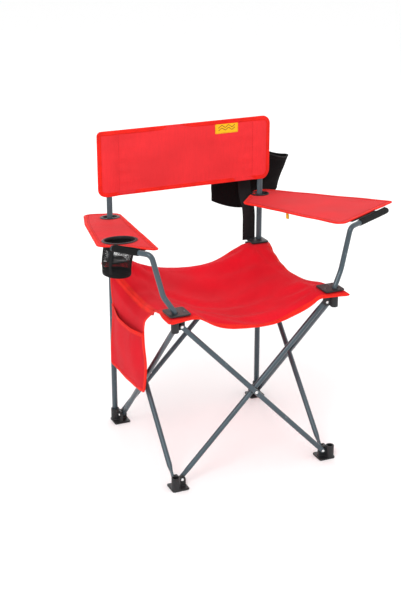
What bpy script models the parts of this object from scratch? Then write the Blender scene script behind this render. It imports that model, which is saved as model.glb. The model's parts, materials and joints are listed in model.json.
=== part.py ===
"""Quad-fold camp chair: four pairs of crossed legs between four corner feet and four corner hubs,
two rear posts, two armed front tubes, an armrest with a cup holder, a side table, a sling seat, a
backrest band, a side pocket and a hanging bag. Metres, +Z up, the sitter faces -Y. Left and right
are as seen by someone who stands in front of the chair."""

import math

import bmesh
import bpy
from mathutils import Matrix, Vector

# Folding frame: the same square linkage on all four sides
HALF = 0.223  # pivots stand this far from the middle of each side
FOOT_Z = 0.025
HUB_Z = 0.490
PLANE = 0.235  # middle plane of each pair of crossed legs
LEG_OFFSET = 0.008  # a leg's centreline to that plane
LEG_R = 0.0075
LEG_FLAT = 0.003  # half the thickness of a flattened leg end
LEG_END = 0.007  # half the width of a flattened leg end, and its round's radius
LEG_FLAT_RUN = 0.020
LEG_ROUND_RUN = 0.040
RISE = HUB_Z - FOOT_Z
LEG_LENGTH = math.hypot(RISE, 2 * HALF)
LEG_ANGLE = math.atan2(RISE, 2 * HALF)

# Corner castings
SOCKET = 0.245  # rear posts and foot sockets
FRONT_SOCKET = 0.2425  # arm tubes in the front hubs
BOSS_R = 0.0125
FRONT_BOSS_R = 0.011
LUG_HALF = 0.004
LUG_R = 0.0115
FOOT_TOP = 0.040
FOOT_PAD = 0.005
HUB_TOP = 0.522
HUB_FLANGE = 0.006
PLATE_Z = 0.5275
PLATE_THICK = 0.004
GAP = 0.0003

# Rivets
RIVET_R = 0.0025
RIVET_HOLE_LEG = 0.0029
RIVET_HOLE_LUG = 0.0028
RIVET_HEAD_R = 0.0048
RIVET_HEAD = 0.002

# Posts, arm tubes and boards
POST_R = 0.0085
POST_WALL = 0.0012
POST_TOP = 0.905
ARM_R = 0.0075
BAR_Z = 0.690
BOARD_THICK = 0.0045
ARMREST_RING_Z = 0.660
ARMREST_SLOPE = 0.100
TABLE_RING_Z = 0.675
TABLE_SLOPE = 0.0676
GROMMET_IN = 0.0215
GROMMET_OUT = 0.0270
CUP_AT = (-0.325, -0.055)
CUP_R = 0.042
CUP_RIM = 0.050
CUP_DEPTH = 0.100
TILT_BEHIND = 0.070  # boards swing about an axis behind and above their grommet
TILT_ABOVE = 0.024

# Fabric
SEAT_Z = 0.5248
SEAT_THICK = 0.003
SEAT_SAG = 0.062
SEAT_DISH = 0.025
SEAT_FLAT = 0.198  # the seat is flat outside this, where the corner plates clamp it
PANEL_LOW = 0.726
PANEL_HIGH = 0.920
PANEL_HALF = 0.271

CORNERS = ("front_left", "front_right", "rear_right", "rear_left")
SIDES = ("left", "front", "right", "rear")  # side k holds the outer leg of foot k


def clear_scene():
    for obj in list(bpy.data.objects):
        bpy.data.objects.remove(obj, do_unlink=True)


def material(name, color, roughness, metallic=0.0):
    mat = bpy.data.materials.new(name)
    mat.use_nodes = True
    shader = mat.node_tree.nodes["Principled BSDF"]
    shader.inputs["Base Color"].default_value = (*color, 1.0)
    shader.inputs["Roughness"].default_value = roughness
    shader.inputs["Metallic"].default_value = metallic
    return mat


def object_of(name, bm, mat=None, smooth=True):
    bmesh.ops.recalc_face_normals(bm, faces=bm.faces)
    mesh = bpy.data.meshes.new(name)
    bm.to_mesh(mesh)
    bm.free()
    obj = bpy.data.objects.new(name, mesh)
    bpy.context.scene.collection.objects.link(obj)
    if mat:
        mesh.materials.append(mat)
    if smooth:
        mesh.shade_smooth()
        mesh.set_sharp_from_angle(angle=math.radians(35))
    return obj


def prism(outline, low, high):
    """A closed prism over an outline of (x, y) points."""
    bm = bmesh.new()
    base = [bm.verts.new((x, y, low)) for x, y in outline]
    face = bm.faces.new(base)
    raised = bmesh.ops.extrude_face_region(bm, geom=[face])["geom"]
    top = [v for v in raised if isinstance(v, bmesh.types.BMVert)]
    bmesh.ops.translate(bm, verts=top, vec=(0, 0, high - low))
    return bm


def turned(profile, sides):
    """A solid turned about Z from (radius, z) points that run along its outside, or a closed ring."""
    bm = bmesh.new()
    rings = []
    for radius, z in profile:
        if radius < 1e-9:
            rings.append([bm.verts.new((0, 0, z))])
            continue
        turns = [2 * math.pi * i / sides for i in range(sides)]
        rings.append([bm.verts.new((radius * math.cos(a), radius * math.sin(a), z)) for a in turns])
    closed = all(len(ring) > 1 for ring in rings)
    pairs = list(zip(rings, rings[1:]))
    if closed:
        pairs.append((rings[-1], rings[0]))
    for lower, upper in pairs:
        for i in range(sides):
            j = (i + 1) % sides
            quad = (lower[i % len(lower)], lower[j % len(lower)], upper[j % len(upper)], upper[i % len(upper)])
            corners = list(dict.fromkeys(quad))
            if len(corners) > 2:
                bm.faces.new(corners)
    return bm


def moved(bm, matrix):
    bmesh.ops.transform(bm, matrix=matrix, verts=bm.verts)
    return bm


def combined(target, tool_bm, operation):
    """The target's mesh after a Boolean with a temporary tool."""
    tool = object_of("tool", tool_bm, smooth=False)
    cut = target.modifiers.new("cut", "BOOLEAN")
    cut.operation = operation
    cut.solver = "EXACT"
    cut.object = tool
    graph = bpy.context.evaluated_depsgraph_get()
    mesh = bpy.data.meshes.new_from_object(target.evaluated_get(graph))
    target.modifiers.remove(cut)
    bpy.data.objects.remove(tool, do_unlink=True)
    old = target.data
    target.data = mesh
    mesh.name = target.name
    bpy.data.meshes.remove(old)
    mesh.shade_smooth()
    mesh.set_sharp_from_angle(angle=math.radians(35))
    return target


def arc(centre, radius, start, end, steps):
    """Points on an arc, angles in degrees, both ends included."""
    turns = [math.radians(start + (end - start) * i / steps) for i in range(steps + 1)]
    return [(centre[0] + radius * math.cos(a), centre[1] + radius * math.sin(a)) for a in turns]


def rounded(corners, steps=5):
    """An outline with each (x, y, radius) corner rounded off."""
    points = []
    for i, (x, y, radius) in enumerate(corners):
        here = Vector((x, y))
        before = (Vector(corners[i - 1][:2]) - here).normalized()
        after = (Vector(corners[(i + 1) % len(corners)][:2]) - here).normalized()
        half = before.angle(after) / 2
        run = radius / math.tan(half)
        centre = here + (before + after).normalized() * (radius / math.sin(half))
        first = here + before * run - centre
        last = here + after * run - centre
        sweep = first.angle_signed(last)
        for n in range(steps + 1):
            turned_by = Matrix.Rotation(-sweep * n / steps, 2)
            points.append(tuple(centre + turned_by @ first))
    return points


def cylinder(radius, low, high, sides):
    return turned([(0, low), (radius, low), (radius, high), (0, high)], sides)


def along(bm, direction, at):
    """Turns a shape made along Z to a direction, then moves it."""
    turn = Vector((0, 0, 1)).rotation_difference(Vector(direction)).to_matrix().to_4x4()
    return moved(bm, Matrix.Translation(at) @ turn)


# Bodies: an empty on each joint's axis carries what moves with it
def body(name, at):
    empty = bpy.data.objects.new("body_" + name, None)
    empty.empty_display_size = 0.03
    empty.location = at
    bpy.context.scene.collection.objects.link(empty)
    return empty


def carry(empty, obj):
    obj.parent = empty
    obj.matrix_parent_inverse = Matrix.Translation(empty.location).inverted()
    return obj


def corner_turn(k):
    return Matrix.Rotation(math.radians(90 * k), 4, "Z")


def corner_point(k, x, y, z):
    """A point given for the front left corner, at corner k."""
    return corner_turn(k) @ Vector((x, y, z))


def lug_outline(reach, low, high, upright):
    """A lug's side view: (inward, height), rounded about its pivot at inward reach, height 0."""
    if upright:  # a foot's lug, rounded at the top
        return [(0, low), (reach + LUG_R, low)] + arc((reach, 0), LUG_R, 0, 90, 4) + [(0, LUG_R)]
    return [(0, high), (0, -LUG_R)] + arc((reach, 0), LUG_R, -90, 0, 4) + [(reach + LUG_R, high)]


def lug(reach, inset, low, high, upright, swap):
    """A lug plate. It runs inward from the socket along Y, or along X when swapped."""
    bm = prism(lug_outline(reach, low, high, upright), inset - LUG_HALF, inset + LUG_HALF)
    axes = Matrix(((0, 0, 1, 0), (1, 0, 0, 0), (0, 1, 0, 0), (0, 0, 0, 1)))
    if swap:
        axes = Matrix(((1, 0, 0, 0), (0, 0, 1, 0), (0, 1, 0, 0), (0, 0, 0, 1)))
    return moved(bm, axes)


def casting(name, socket, boss_r, bore_r, z_low, z_high, flange, upright, mat):
    """A corner casting about its socket, with the pivot height at 0: boss, two lugs and a flange."""
    reach = socket - HALF
    inset = socket - PLANE
    obj = object_of(name, cylinder(boss_r, z_low, z_high, 20), mat)
    for swap in (False, True):
        combined(obj, lug(reach, inset, z_low, z_high, upright, swap), "UNION")
    size, thick, edge = flange
    outline = rounded([(-edge, -edge, 0.008), (size, -edge, 0.006), (size, size, 0.006), (-edge, size, 0.006)], 3)
    if upright:
        combined(obj, prism(outline, z_low, z_low + thick), "UNION")
    else:
        combined(obj, prism(outline, z_high - thick, z_high), "UNION")
    bore_low = z_low + 0.004 if upright else z_low - 0.01
    combined(obj, cylinder(bore_r, bore_low, z_high + 0.01, 16), "DIFFERENCE")
    for direction, at in (((1, 0, 0), (inset, reach, 0)), ((0, 1, 0), (reach, inset, 0))):
        combined(obj, along(cylinder(RIVET_HOLE_LUG, -0.0055, 0.0055, 10), direction, at), "DIFFERENCE")
    return obj


def place_corner(obj, k, socket, z):
    """A casting modelled for the front left corner, stood at corner k."""
    obj.matrix_world = corner_turn(k) @ Matrix.Translation((-socket, -socket, z))
    return obj


def leg_mesh(name, mat):
    """A leg tube with flattened, rounded ends, centred on its middle pivot and lying along Z."""
    half = LEG_LENGTH / 2
    ends = [(-LEG_END * math.cos(math.radians(a)), LEG_END * math.sin(math.radians(a)), LEG_FLAT)
            for a in (20, 55, 90)]
    ends.append((LEG_FLAT_RUN, LEG_END, LEG_FLAT))
    ends.append((LEG_ROUND_RUN, LEG_R, LEG_R))
    sections = [(-half + z, width, thick) for z, width, thick in ends]
    sections += [(-z, width, thick) for z, width, thick in reversed(sections)]
    sides = 12
    bm = bmesh.new()
    rings = []
    for z, width, thick in sections:
        ring = []
        for i in range(sides):
            a = 2 * math.pi * (i + 0.5) / sides
            c, s = math.cos(a), math.sin(a)
            flatness = (LEG_R - thick) / (LEG_R - LEG_FLAT)
            square = 1 - 0.85 * flatness
            x = width * math.copysign(abs(c) ** (0.5 + 0.5 * square), c)
            y = thick * math.copysign(abs(s) ** max(square, 0.15), s)
            ring.append(bm.verts.new((x, y, z)))
        rings.append(ring)
    for lower, upper in zip(rings, rings[1:]):
        for i in range(sides):
            j = (i + 1) % sides
            bm.faces.new((lower[i], lower[j], upper[j], upper[i]))
    bm.faces.new(rings[0])
    bm.faces.new(rings[-1])
    obj = object_of(name, bm, mat)
    for z in (-half, 0, half):
        reach = LEG_R + 0.004
        tool = along(cylinder(RIVET_HOLE_LEG, -reach, reach, 10), (0, 1, 0), (0, 0, z))
        combined(obj, tool, "DIFFERENCE")
    return obj


def leg_matrix(k, outer):
    """Where a centred leg stands. Outer legs of foot k run back along the side, inner ones across."""
    rise = Vector((0, math.cos(LEG_ANGLE), math.sin(LEG_ANGLE)))
    normal = Vector((1, 0, 0))
    middle = Vector((-PLANE - LEG_OFFSET, 0, (FOOT_Z + HUB_Z) / 2))
    if not outer:
        rise = Vector((math.cos(LEG_ANGLE), 0, math.sin(LEG_ANGLE)))
        normal = Vector((0, 1, 0))
        middle = Vector((0, -PLANE + LEG_OFFSET, (FOOT_Z + HUB_Z) / 2))
    across = normal.cross(rise)
    turn = Matrix((across, normal, rise)).transposed().to_4x4()
    return corner_turn(k) @ Matrix.Translation(middle) @ turn


def rivet_bm(start, end, head_at_start=True):
    """A rivet along +Z: a shaft from start to end with a domed head past its end, and its start."""
    head = RIVET_HEAD_R
    profile = [(0, start), (RIVET_R, start)]
    if head_at_start:
        profile = [(0, start - RIVET_HEAD), (head * 0.6, start - RIVET_HEAD * 0.85),
                   (head, start - RIVET_HEAD * 0.2), (head, start), (RIVET_R, start)]
    profile += [(RIVET_R, end), (head, end), (head, end + RIVET_HEAD * 0.2),
                (head * 0.6, end + RIVET_HEAD * 0.85), (0, end + RIVET_HEAD)]
    return turned(profile, 10)


def rivet(name, mat, matrix, start, end, head_at_start=True):
    obj = object_of(name, rivet_bm(start, end, head_at_start), mat)
    obj.matrix_world = matrix
    return obj


def tube_along(name, points, radius, mat, resolution=4):
    curve = bpy.data.curves.new(name, "CURVE")
    curve.dimensions = "3D"
    curve.bevel_depth = radius
    curve.bevel_resolution = resolution
    curve.use_fill_caps = True
    spline = curve.splines.new("POLY")
    spline.points.add(len(points) - 1)
    for point, place in zip(spline.points, points):
        point.co = (*place, 1)
    curve.materials.append(mat)
    obj = bpy.data.objects.new(name, curve)
    bpy.context.scene.collection.objects.link(obj)
    return obj


def bent(corners, steps=6):
    """A route through (point, bend radius) corners, with each bend as an arc."""
    route = [Vector(corners[0][0])]
    for (a, _), (b, radius), (c, _) in zip(corners, corners[1:], corners[2:]):
        here = Vector(b)
        before = (Vector(a) - here).normalized()
        after = (Vector(c) - here).normalized()
        half = before.angle(after) / 2
        run = radius / math.tan(half)
        centre = here + (before + after).normalized() * (radius / math.sin(half))
        first = here + before * run - centre
        last = here + after * run - centre
        axis = first.cross(last).normalized()
        sweep = first.angle(last)
        for n in range(steps + 1):
            route.append(centre + Matrix.Rotation(sweep * n / steps, 3, axis) @ first)
    route.append(Vector(corners[-1][0]))
    return route


def board_lift(ring_z, slope):
    """Tips a board modelled flat at height 0, so that its top passes the grommet at ring_z."""
    lean = Matrix.Identity(4)
    lean[2][1] = -slope
    lean[2][3] = ring_z + slope * SOCKET
    return lean


def board(name, outline, ring_z, slope, holes, mat):
    obj = object_of(name, prism(outline, -BOARD_THICK, 0), mat)
    for (x, y), radius, sides in holes:
        tool = moved(cylinder(radius, -0.02, 0.02, sides), Matrix.Translation((x, y, 0)))
        combined(obj, tool, "DIFFERENCE")
    obj.data.transform(board_lift(ring_z, slope))
    return obj


def flanged_ring(name, at, inner, outer, lip, ring_z, slope, mat, sides=24):
    """A ring through a board's hole, its lip resting on the board's top."""
    profile = [(inner, -BOARD_THICK - 0.001), (outer, -BOARD_THICK - 0.001), (outer, GAP),
               (outer + lip, GAP), (outer + lip - 0.0006, 0.0018), (inner + 0.001, 0.0022), (inner, 0.0012)]
    bm = moved(turned(profile, sides), Matrix.Translation((*at, 0)))
    return object_of(name, moved(bm, board_lift(ring_z, slope)), mat)


def seat_height(x, y):
    """The middle of the seat fabric: flat at its corners, sagging between its sides."""
    across = min(abs(x) / SEAT_FLAT, 1)
    deep = min(abs(y) / SEAT_FLAT, 1)
    return SEAT_Z - (1 - across ** 1.8) * (SEAT_SAG + SEAT_DISH * (1 - deep ** 2))


def seat_half(name, side, mat):
    """One half of the sling seat, from its outer edge to the middle line."""
    bm = bmesh.new()
    across = (0.0008, 0.04, 0.08, 0.12, 0.16, SEAT_FLAT, 0.232, 1.0)
    rows = 8
    grid = {}
    for level in (0.5, -0.5):
        for i, share in enumerate(across):
            for j in range(rows + 1):
                t = -1 + 2 * j / rows
                edge = 0.266 + 0.012 * abs(t) ** 4
                x = edge if i == len(across) - 1 else share
                front = -0.262 - 0.026 * (x / 0.27) ** 4
                back = 0.240 + 0.020 * (x / 0.27) ** 4
                y = front + (back - front) * j / rows
                z = seat_height(x, y) + level * SEAT_THICK
                grid[level, i, j] = bm.verts.new((side * x, y, z))
    last = len(across) - 1
    for i in range(last):
        for j in range(rows):
            for level in (0.5, -0.5):
                corners = ((i, j), (i + 1, j), (i + 1, j + 1), (i, j + 1))
                bm.faces.new([grid[level, a, b] for a, b in corners])
    border = [(i, 0) for i in range(last)] + [(last, j) for j in range(rows)]
    border += [(i, rows) for i in range(last, 0, -1)] + [(0, j) for j in range(rows, 0, -1)]
    for (a, b), (c, d) in zip(border, border[1:] + border[:1]):
        bm.faces.new((grid[0.5, a, b], grid[0.5, c, d], grid[-0.5, c, d], grid[-0.5, a, b]))
    obj = object_of(name, bm, mat)
    for socket, y, radius in ((FRONT_SOCKET, -FRONT_SOCKET, 0.0105), (SOCKET, SOCKET, 0.0115)):
        tool = moved(cylinder(radius, SEAT_Z - 0.02, SEAT_Z + 0.02, 12), Matrix.Translation((side * socket, y, 0)))
        combined(obj, tool, "DIFFERENCE")
    return obj


def back_panel(mat):
    """The backrest band with a sewn sleeve over each post, open at the bottom."""
    sleeve_x, sleeve_half, sleeve_deep, web_y, web = 0.2465, 0.0245, 0.0140, 0.2395, 0.0025
    right = arc((0, 0), 1, -125, 125, 10)
    outline = [(sleeve_x + sleeve_half * c, SOCKET + sleeve_deep * s) for c, s in right]
    front_run = [(0.0, web_y - web)]
    back_run = [(0.0, web_y + web)]
    left = [(-x, y) for x, y in reversed(outline)]
    obj = object_of("back_panel", prism(front_run + outline + back_run + left, PANEL_LOW, PANEL_HIGH), mat)
    for side in (-1, 1):
        tool = moved(cylinder(POST_R + 0.0006, PANEL_LOW - 0.01, POST_TOP + 0.002, 16),
                     Matrix.Translation((side * SOCKET, SOCKET, 0)))
        combined(obj, tool, "DIFFERENCE")
    return obj


def tapered_box(low, high, inset, grow=0.0):
    """A box between two corners whose bottom is drawn in by inset on each side."""
    bm = bmesh.new()
    (x0, y0, z0), (x1, y1, z1) = low, high
    rings = []
    for z, draw in ((z0, inset), (z1, 0)):
        d = draw + grow
        places = ((x0 + d, y0 + d), (x1 - d, y0 + d), (x1 - d, y1 - d), (x0 + d, y1 - d))
        rings.append([bm.verts.new((x, y, z)) for x, y in places])
    bm.faces.new(rings[0])
    bm.faces.new(rings[1])
    for i in range(4):
        j = (i + 1) % 4
        bm.faces.new((rings[0][i], rings[0][j], rings[1][j], rings[1][i]))
    return bm


def hanging_bag(mat):
    low, high = (0.130, 0.305, 0.612), (0.388, 0.384, 0.784)
    obj = object_of("hanging_bag", tapered_box(low, high, 0.012), mat)
    inside_low = (low[0], low[1], low[2] + 0.004)
    inside_high = (high[0], high[1], high[2] + 0.010)
    return combined(obj, tapered_box(inside_low, inside_high, 0.012, 0.005), "DIFFERENCE")


def bag_strap(mat):
    """A flat strap from the rear seat corner, up behind the post, to the bag's front."""
    side_view = [(0.2645, 0.532), (0.2645, 0.600), (0.2720, 0.632), (0.2900, 0.655), (0.3022, 0.690), (0.3022, 0.745)]
    thick = 0.002
    outline = side_view + [(y - thick, z + 0.0006) for y, z in reversed(side_view)]
    bm = prism(outline, 0.198, 0.240)
    axes = Matrix(((0, 0, 1, 0), (1, 0, 0, 0), (0, 1, 0, 0), (0, 0, 0, 1)))
    return object_of("bag_strap", moved(bm, axes), mat)


def side_pocket(mat):
    """A flat pouch beside the seat's left edge, open along its top."""
    outline = [(-0.112, 0.478), (-0.100, 0.250), (-0.060, 0.218), (0.060, 0.216), (0.160, 0.222), (0.192, 0.262),
               (0.186, 0.478)]
    thick = (-0.281, -0.2655)
    axes = Matrix(((0, 0, 1, 0), (1, 0, 0, 0), (0, 1, 0, 0), (0, 0, 0, 1)))
    obj = object_of("side_pocket", moved(prism(outline, *thick), axes), mat)
    inside = [(-0.094, 0.50), (-0.088, 0.258), (-0.055, 0.228), (0.155, 0.230), (0.178, 0.266), (0.172, 0.50)]
    tool = moved(prism(inside, thick[0] + 0.003, thick[1] - 0.003), axes)
    return combined(obj, tool, "DIFFERENCE")


def cup_mesh(mat):
    """The mesh cup under the armrest's cup ring: a thin open-topped wall."""
    wall, drop = 0.002, BOARD_THICK + 0.0025
    top_r, bottom_r = 0.0455, 0.038
    outer = [(0, -CUP_DEPTH), (bottom_r - 0.004, -CUP_DEPTH), (bottom_r, -CUP_DEPTH + 0.005), (top_r, -drop)]
    inner = [(top_r - wall, -drop), (bottom_r - wall, -CUP_DEPTH + 0.006), (0, -CUP_DEPTH + wall)]
    bm = moved(turned(outer + inner, 20), Matrix.Translation((*CUP_AT, 0)))
    lift = Matrix.Translation((0, 0, ARMREST_RING_Z + ARMREST_SLOPE * (SOCKET - CUP_AT[1])))
    for vert in bm.verts:
        lean = -ARMREST_SLOPE * (vert.co.y - CUP_AT[1])
        vert.co.z += lean if vert.co.z > -CUP_DEPTH / 2 else 0
    return object_of("cup_mesh", moved(bm, lift), mat)


def arm_route(side, bar_end):
    return bent([((side * FRONT_SOCKET, -FRONT_SOCKET, HUB_TOP - 0.034), 0),
                 ((side * FRONT_SOCKET, -FRONT_SOCKET, HUB_TOP + 0.022), 0.03),
                 ((side * 0.2630, -0.2300, 0.5800), 0.08),
                 ((side * 0.2985, -0.2290, BAR_Z), 0.016),
                 ((*bar_end, BAR_Z), 0)])


def bar_sleeve(name, start, end, mat):
    """A loop of webbing round the top bar of an arm tube."""
    a, b = Vector((*start, BAR_Z)), Vector((*end, BAR_Z))
    inner = ARM_R + 0.0004
    profile = [(inner, 0), (inner + 0.0012, 0), (inner + 0.0012, (b - a).length), (inner, (b - a).length)]
    return object_of(name, along(turned(profile, 16), b - a, a), mat)


def between(a, b, share):
    return tuple(Vector(a).lerp(Vector(b), share))


def build():
    clear_scene()
    steel = material("powder_coated_steel", (0.085, 0.115, 0.140), 0.38, 0.6)
    plastic = material("black_plastic", (0.012, 0.012, 0.014), 0.45)
    bright = material("bright_rivet", (0.75, 0.76, 0.78), 0.25, 1.0)
    seat_red = material("seat_fabric", (0.80, 0.015, 0.035), 0.85)
    back_red = material("back_fabric", (0.84, 0.045, 0.055), 0.85)
    mesh_black = material("cup_net", (0.02, 0.02, 0.022), 0.80)
    bag_black = material("bag_fabric", (0.015, 0.012, 0.013), 0.75)
    webbing = material("webbing", (0.015, 0.015, 0.016), 0.80)

    foot_bodies, hub_bodies = [], []
    foot_master = casting("foot_master", SOCKET, BOSS_R, POST_R + GAP, -FOOT_Z, FOOT_TOP - FOOT_Z,
                          (0.0375, FOOT_PAD, 0.0135), True, plastic)
    rear_master = casting("rear_hub_master", SOCKET, BOSS_R, POST_R + 0.0006, -0.014, HUB_TOP - HUB_Z,
                          (0.044, HUB_FLANGE, 0.0120), False, plastic)
    front_master = casting("front_hub_master", FRONT_SOCKET, FRONT_BOSS_R, ARM_R + GAP, -0.014, HUB_TOP - HUB_Z,
                           (0.042, HUB_FLANGE, 0.0130), False, plastic)

    for k, corner in enumerate(CORNERS):
        front = k < 2
        foot_body = body("foot_" + corner, corner_point(k, -HALF, -HALF, FOOT_Z))
        hub_body = body("hub_" + corner, corner_point(k, -HALF, -HALF, HUB_Z))
        foot_bodies.append(foot_body)
        hub_bodies.append(hub_body)
        foot = bpy.data.objects.new("foot_" + corner, foot_master.data)
        bpy.context.scene.collection.objects.link(foot)
        carry(foot_body, place_corner(foot, k, SOCKET, FOOT_Z))
        hub = bpy.data.objects.new("hub_" + corner, (front_master if front else rear_master).data)
        bpy.context.scene.collection.objects.link(hub)
        socket = FRONT_SOCKET if front else SOCKET
        carry(hub_body, place_corner(hub, k, socket, HUB_Z))

        edge = 0.022 if front else 0.016
        outline = rounded([(-edge, -edge, 0.008), (0.040, -edge, 0.006), (0.040, 0.040, 0.006),
                           (-edge, 0.040, 0.006)], 3)
        plate = object_of("seat_plate_" + corner, prism(outline, 0, PLATE_THICK), plastic)
        hole = ARM_R + 0.0008 if front else POST_R + 0.0006
        combined(plate, cylinder(hole, -0.01, 0.02, 16), "DIFFERENCE")
        carry(hub_body, place_corner(plate, k, socket, PLATE_Z))

        # Rivets: heads on both sides where a leg lies inside its lug, one head where it lies outside
        turn = corner_turn(k)
        out_x = Matrix.Rotation(math.radians(-90), 4, "Y")
        out_y = Matrix.Rotation(math.radians(90), 4, "X")
        lug_in, lug_out = PLANE - LUG_HALF, PLANE + LUG_HALF
        leg_out, leg_in = PLANE + LEG_OFFSET + LEG_FLAT, PLANE - LEG_OFFSET - LEG_FLAT
        at_x = turn @ Matrix.Translation((0, -HALF, FOOT_Z)) @ out_x
        at_y = turn @ Matrix.Translation((-HALF, 0, FOOT_Z)) @ out_y
        lift = Matrix.Translation((0, 0, HUB_Z - FOOT_Z))
        carry(foot_body, rivet(f"foot_rivet_outer_{corner}", bright, at_x, lug_in + GAP, leg_out + GAP, False))
        carry(foot_body, rivet(f"foot_rivet_inner_{corner}", bright, at_y, leg_in - GAP, lug_out + GAP))
        carry(hub_body, rivet(f"hub_rivet_outer_{corner}", bright, lift @ at_y, lug_in + GAP, leg_out + GAP, False))
        carry(hub_body, rivet(f"hub_rivet_inner_{corner}", bright, lift @ at_x, leg_in - GAP, lug_out + GAP))

    for master in (foot_master, rear_master, front_master):
        bpy.data.objects.remove(master, do_unlink=True)

    # Legs. Outer leg k and inner leg k both stand on foot k; a cross rivet joins each side's pair
    leg_master = leg_mesh("leg_master", steel)
    from_foot = {("rear", "outer"): 3, ("left", "inner"): 3, ("front", "inner"): 0, ("right", "outer"): 2}
    for k in range(4):
        outer_side, inner_side = SIDES[k], SIDES[(k + 1) % 4]
        for kind, side in (("outer", outer_side), ("inner", inner_side)):
            leg = bpy.data.objects.new(f"leg_{side}_{kind}", leg_master.data)
            bpy.context.scene.collection.objects.link(leg)
            leg.matrix_world = leg_matrix(k, kind == "outer")
            middle = leg.matrix_world.translation.copy()
            start = from_foot.get((side, kind))
            at = foot_bodies[start].location if start is not None else middle
            carry(body(f"{side}_{kind}", at), leg)
        middle_x = corner_turn(k) @ Matrix.Translation((0, 0, (FOOT_Z + HUB_Z) / 2)) @ out_x
        reach = LEG_OFFSET + LEG_R + GAP
        carry(bpy.data.objects[f"body_{outer_side}_outer"],
              rivet(f"cross_rivet_{outer_side}", bright, middle_x, PLANE - reach, PLANE + reach))
    bpy.data.objects.remove(leg_master, do_unlink=True)

    # Rear posts stand in the rear feet
    for k, side in ((3, "left"), (2, "right")):
        sign = -1 if side == "left" else 1
        low, inner = 0.0045, POST_R - POST_WALL
        profile = [(inner, low), (POST_R, low), (POST_R, POST_TOP), (inner, POST_TOP)]
        post = object_of("post_" + side, turned(profile, 16), steel)
        post.location = (sign * SOCKET, SOCKET, 0)
        bpy.context.view_layer.update()
        carry(foot_bodies[k], post)

    # Arm tubes rise from the front hubs to a short bar under each board
    bar_ends = {"left": (-0.3755, -0.1350), "right": (0.4780, -0.1260)}
    arm_hubs = {"left": hub_bodies[0], "right": hub_bodies[1]}
    for side, sign in (("left", -1), ("right", 1)):
        route = arm_route(sign, bar_ends[side])
        carry(arm_hubs[side], tube_along("arm_tube_" + side, route, ARM_R, steel))
        bar_start = route[-2][:2]
        first, last = (0.22, 0.97) if side == "left" else (0.18, 0.98)
        sleeve = bar_sleeve("bar_sleeve_" + side, between(bar_start, bar_ends[side], first),
                            between(bar_start, bar_ends[side], last), webbing)
        carry(arm_hubs[side], sleeve)

    # Boards swing up about an axis behind their post
    post_at = {"left": (-SOCKET, SOCKET), "right": (SOCKET, SOCKET)}
    tilt_y = SOCKET + TILT_BEHIND
    armrest_body = body("armrest", (-SOCKET, tilt_y, ARMREST_RING_Z + TILT_ABOVE))
    table_body = body("side_table", (SOCKET, tilt_y, TABLE_RING_Z + TILT_ABOVE))
    hole_r = GROMMET_OUT + GAP
    arm_outline = rounded([(-0.288, 0.322, 0.030), (-0.400, -0.086, 0.022), (-0.352, -0.112, 0.060),
                           (-0.2715, -0.214, 0.010), (-0.197, 0.290, 0.030)])
    carry(armrest_body, board("armrest_board", arm_outline, ARMREST_RING_Z, ARMREST_SLOPE,
                              [(post_at["left"], hole_r, 24), (CUP_AT, CUP_R + 0.003 + GAP, 24)], seat_red))
    table_outline = rounded([(0.272, 0.323, 0.035), (0.150, 0.163, 0.030), (0.274, -0.214, 0.022),
                             (0.545, -0.046, 0.012)])
    carry(table_body, board("table_board", table_outline, TABLE_RING_Z, TABLE_SLOPE,
                            [(post_at["right"], hole_r, 24)], seat_red))
    carry(armrest_body, flanged_ring("grommet_left", post_at["left"], GROMMET_IN, GROMMET_OUT, 0.003,
                                     ARMREST_RING_Z, ARMREST_SLOPE, plastic))
    carry(table_body, flanged_ring("grommet_right", post_at["right"], GROMMET_IN, GROMMET_OUT, 0.003,
                                   TABLE_RING_Z, TABLE_SLOPE, plastic))
    carry(armrest_body, flanged_ring("cup_ring", CUP_AT, CUP_R, CUP_R + 0.003, CUP_RIM - CUP_R - 0.003,
                                     ARMREST_RING_Z, ARMREST_SLOPE, plastic))
    carry(armrest_body, cup_mesh(mesh_black))

    # Fabric
    left_seat = body("seat_left", (-PLANE, HALF, SEAT_Z))
    right_seat = body("seat_right", (PLANE, HALF, SEAT_Z))
    carry(left_seat, seat_half("seat_left_half", -1, seat_red))
    carry(right_seat, seat_half("seat_right_half", 1, seat_red))
    carry(foot_bodies[3], back_panel(back_red))
    carry(hub_bodies[3], side_pocket(seat_red))
    carry(foot_bodies[2], hanging_bag(bag_black))
    carry(foot_bodies[2], bag_strap(webbing))

    # The row's origin is the middle of the whole object's base
    bpy.context.view_layer.update()
    nodes = [o for o in bpy.data.objects if o.type in ("MESH", "CURVE")]
    corners = [o.matrix_world @ Vector(c) for o in nodes for c in o.bound_box]
    centre_x = (min(c.x for c in corners) + max(c.x for c in corners)) / 2
    centre_y = (min(c.y for c in corners) + max(c.y for c in corners)) / 2
    chair = bpy.data.objects.new("chair", None)
    bpy.context.scene.collection.objects.link(chair)
    for empty in [o for o in bpy.data.objects if o.type == "EMPTY" and o is not chair]:
        empty.parent = chair
    chair.location = (-centre_x, -centre_y, 0)


build()
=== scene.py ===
"""The looks of a quad-fold camp chair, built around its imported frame: woven red cloth with bound and
stitched edges, powder-coated tubes, moulded black corners, a net cup, a side pocket and a hanging
bag. Lengths are in metres."""

import json
import math

import bpy
import numpy as np
from mathutils import Matrix, Vector, geometry


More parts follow.
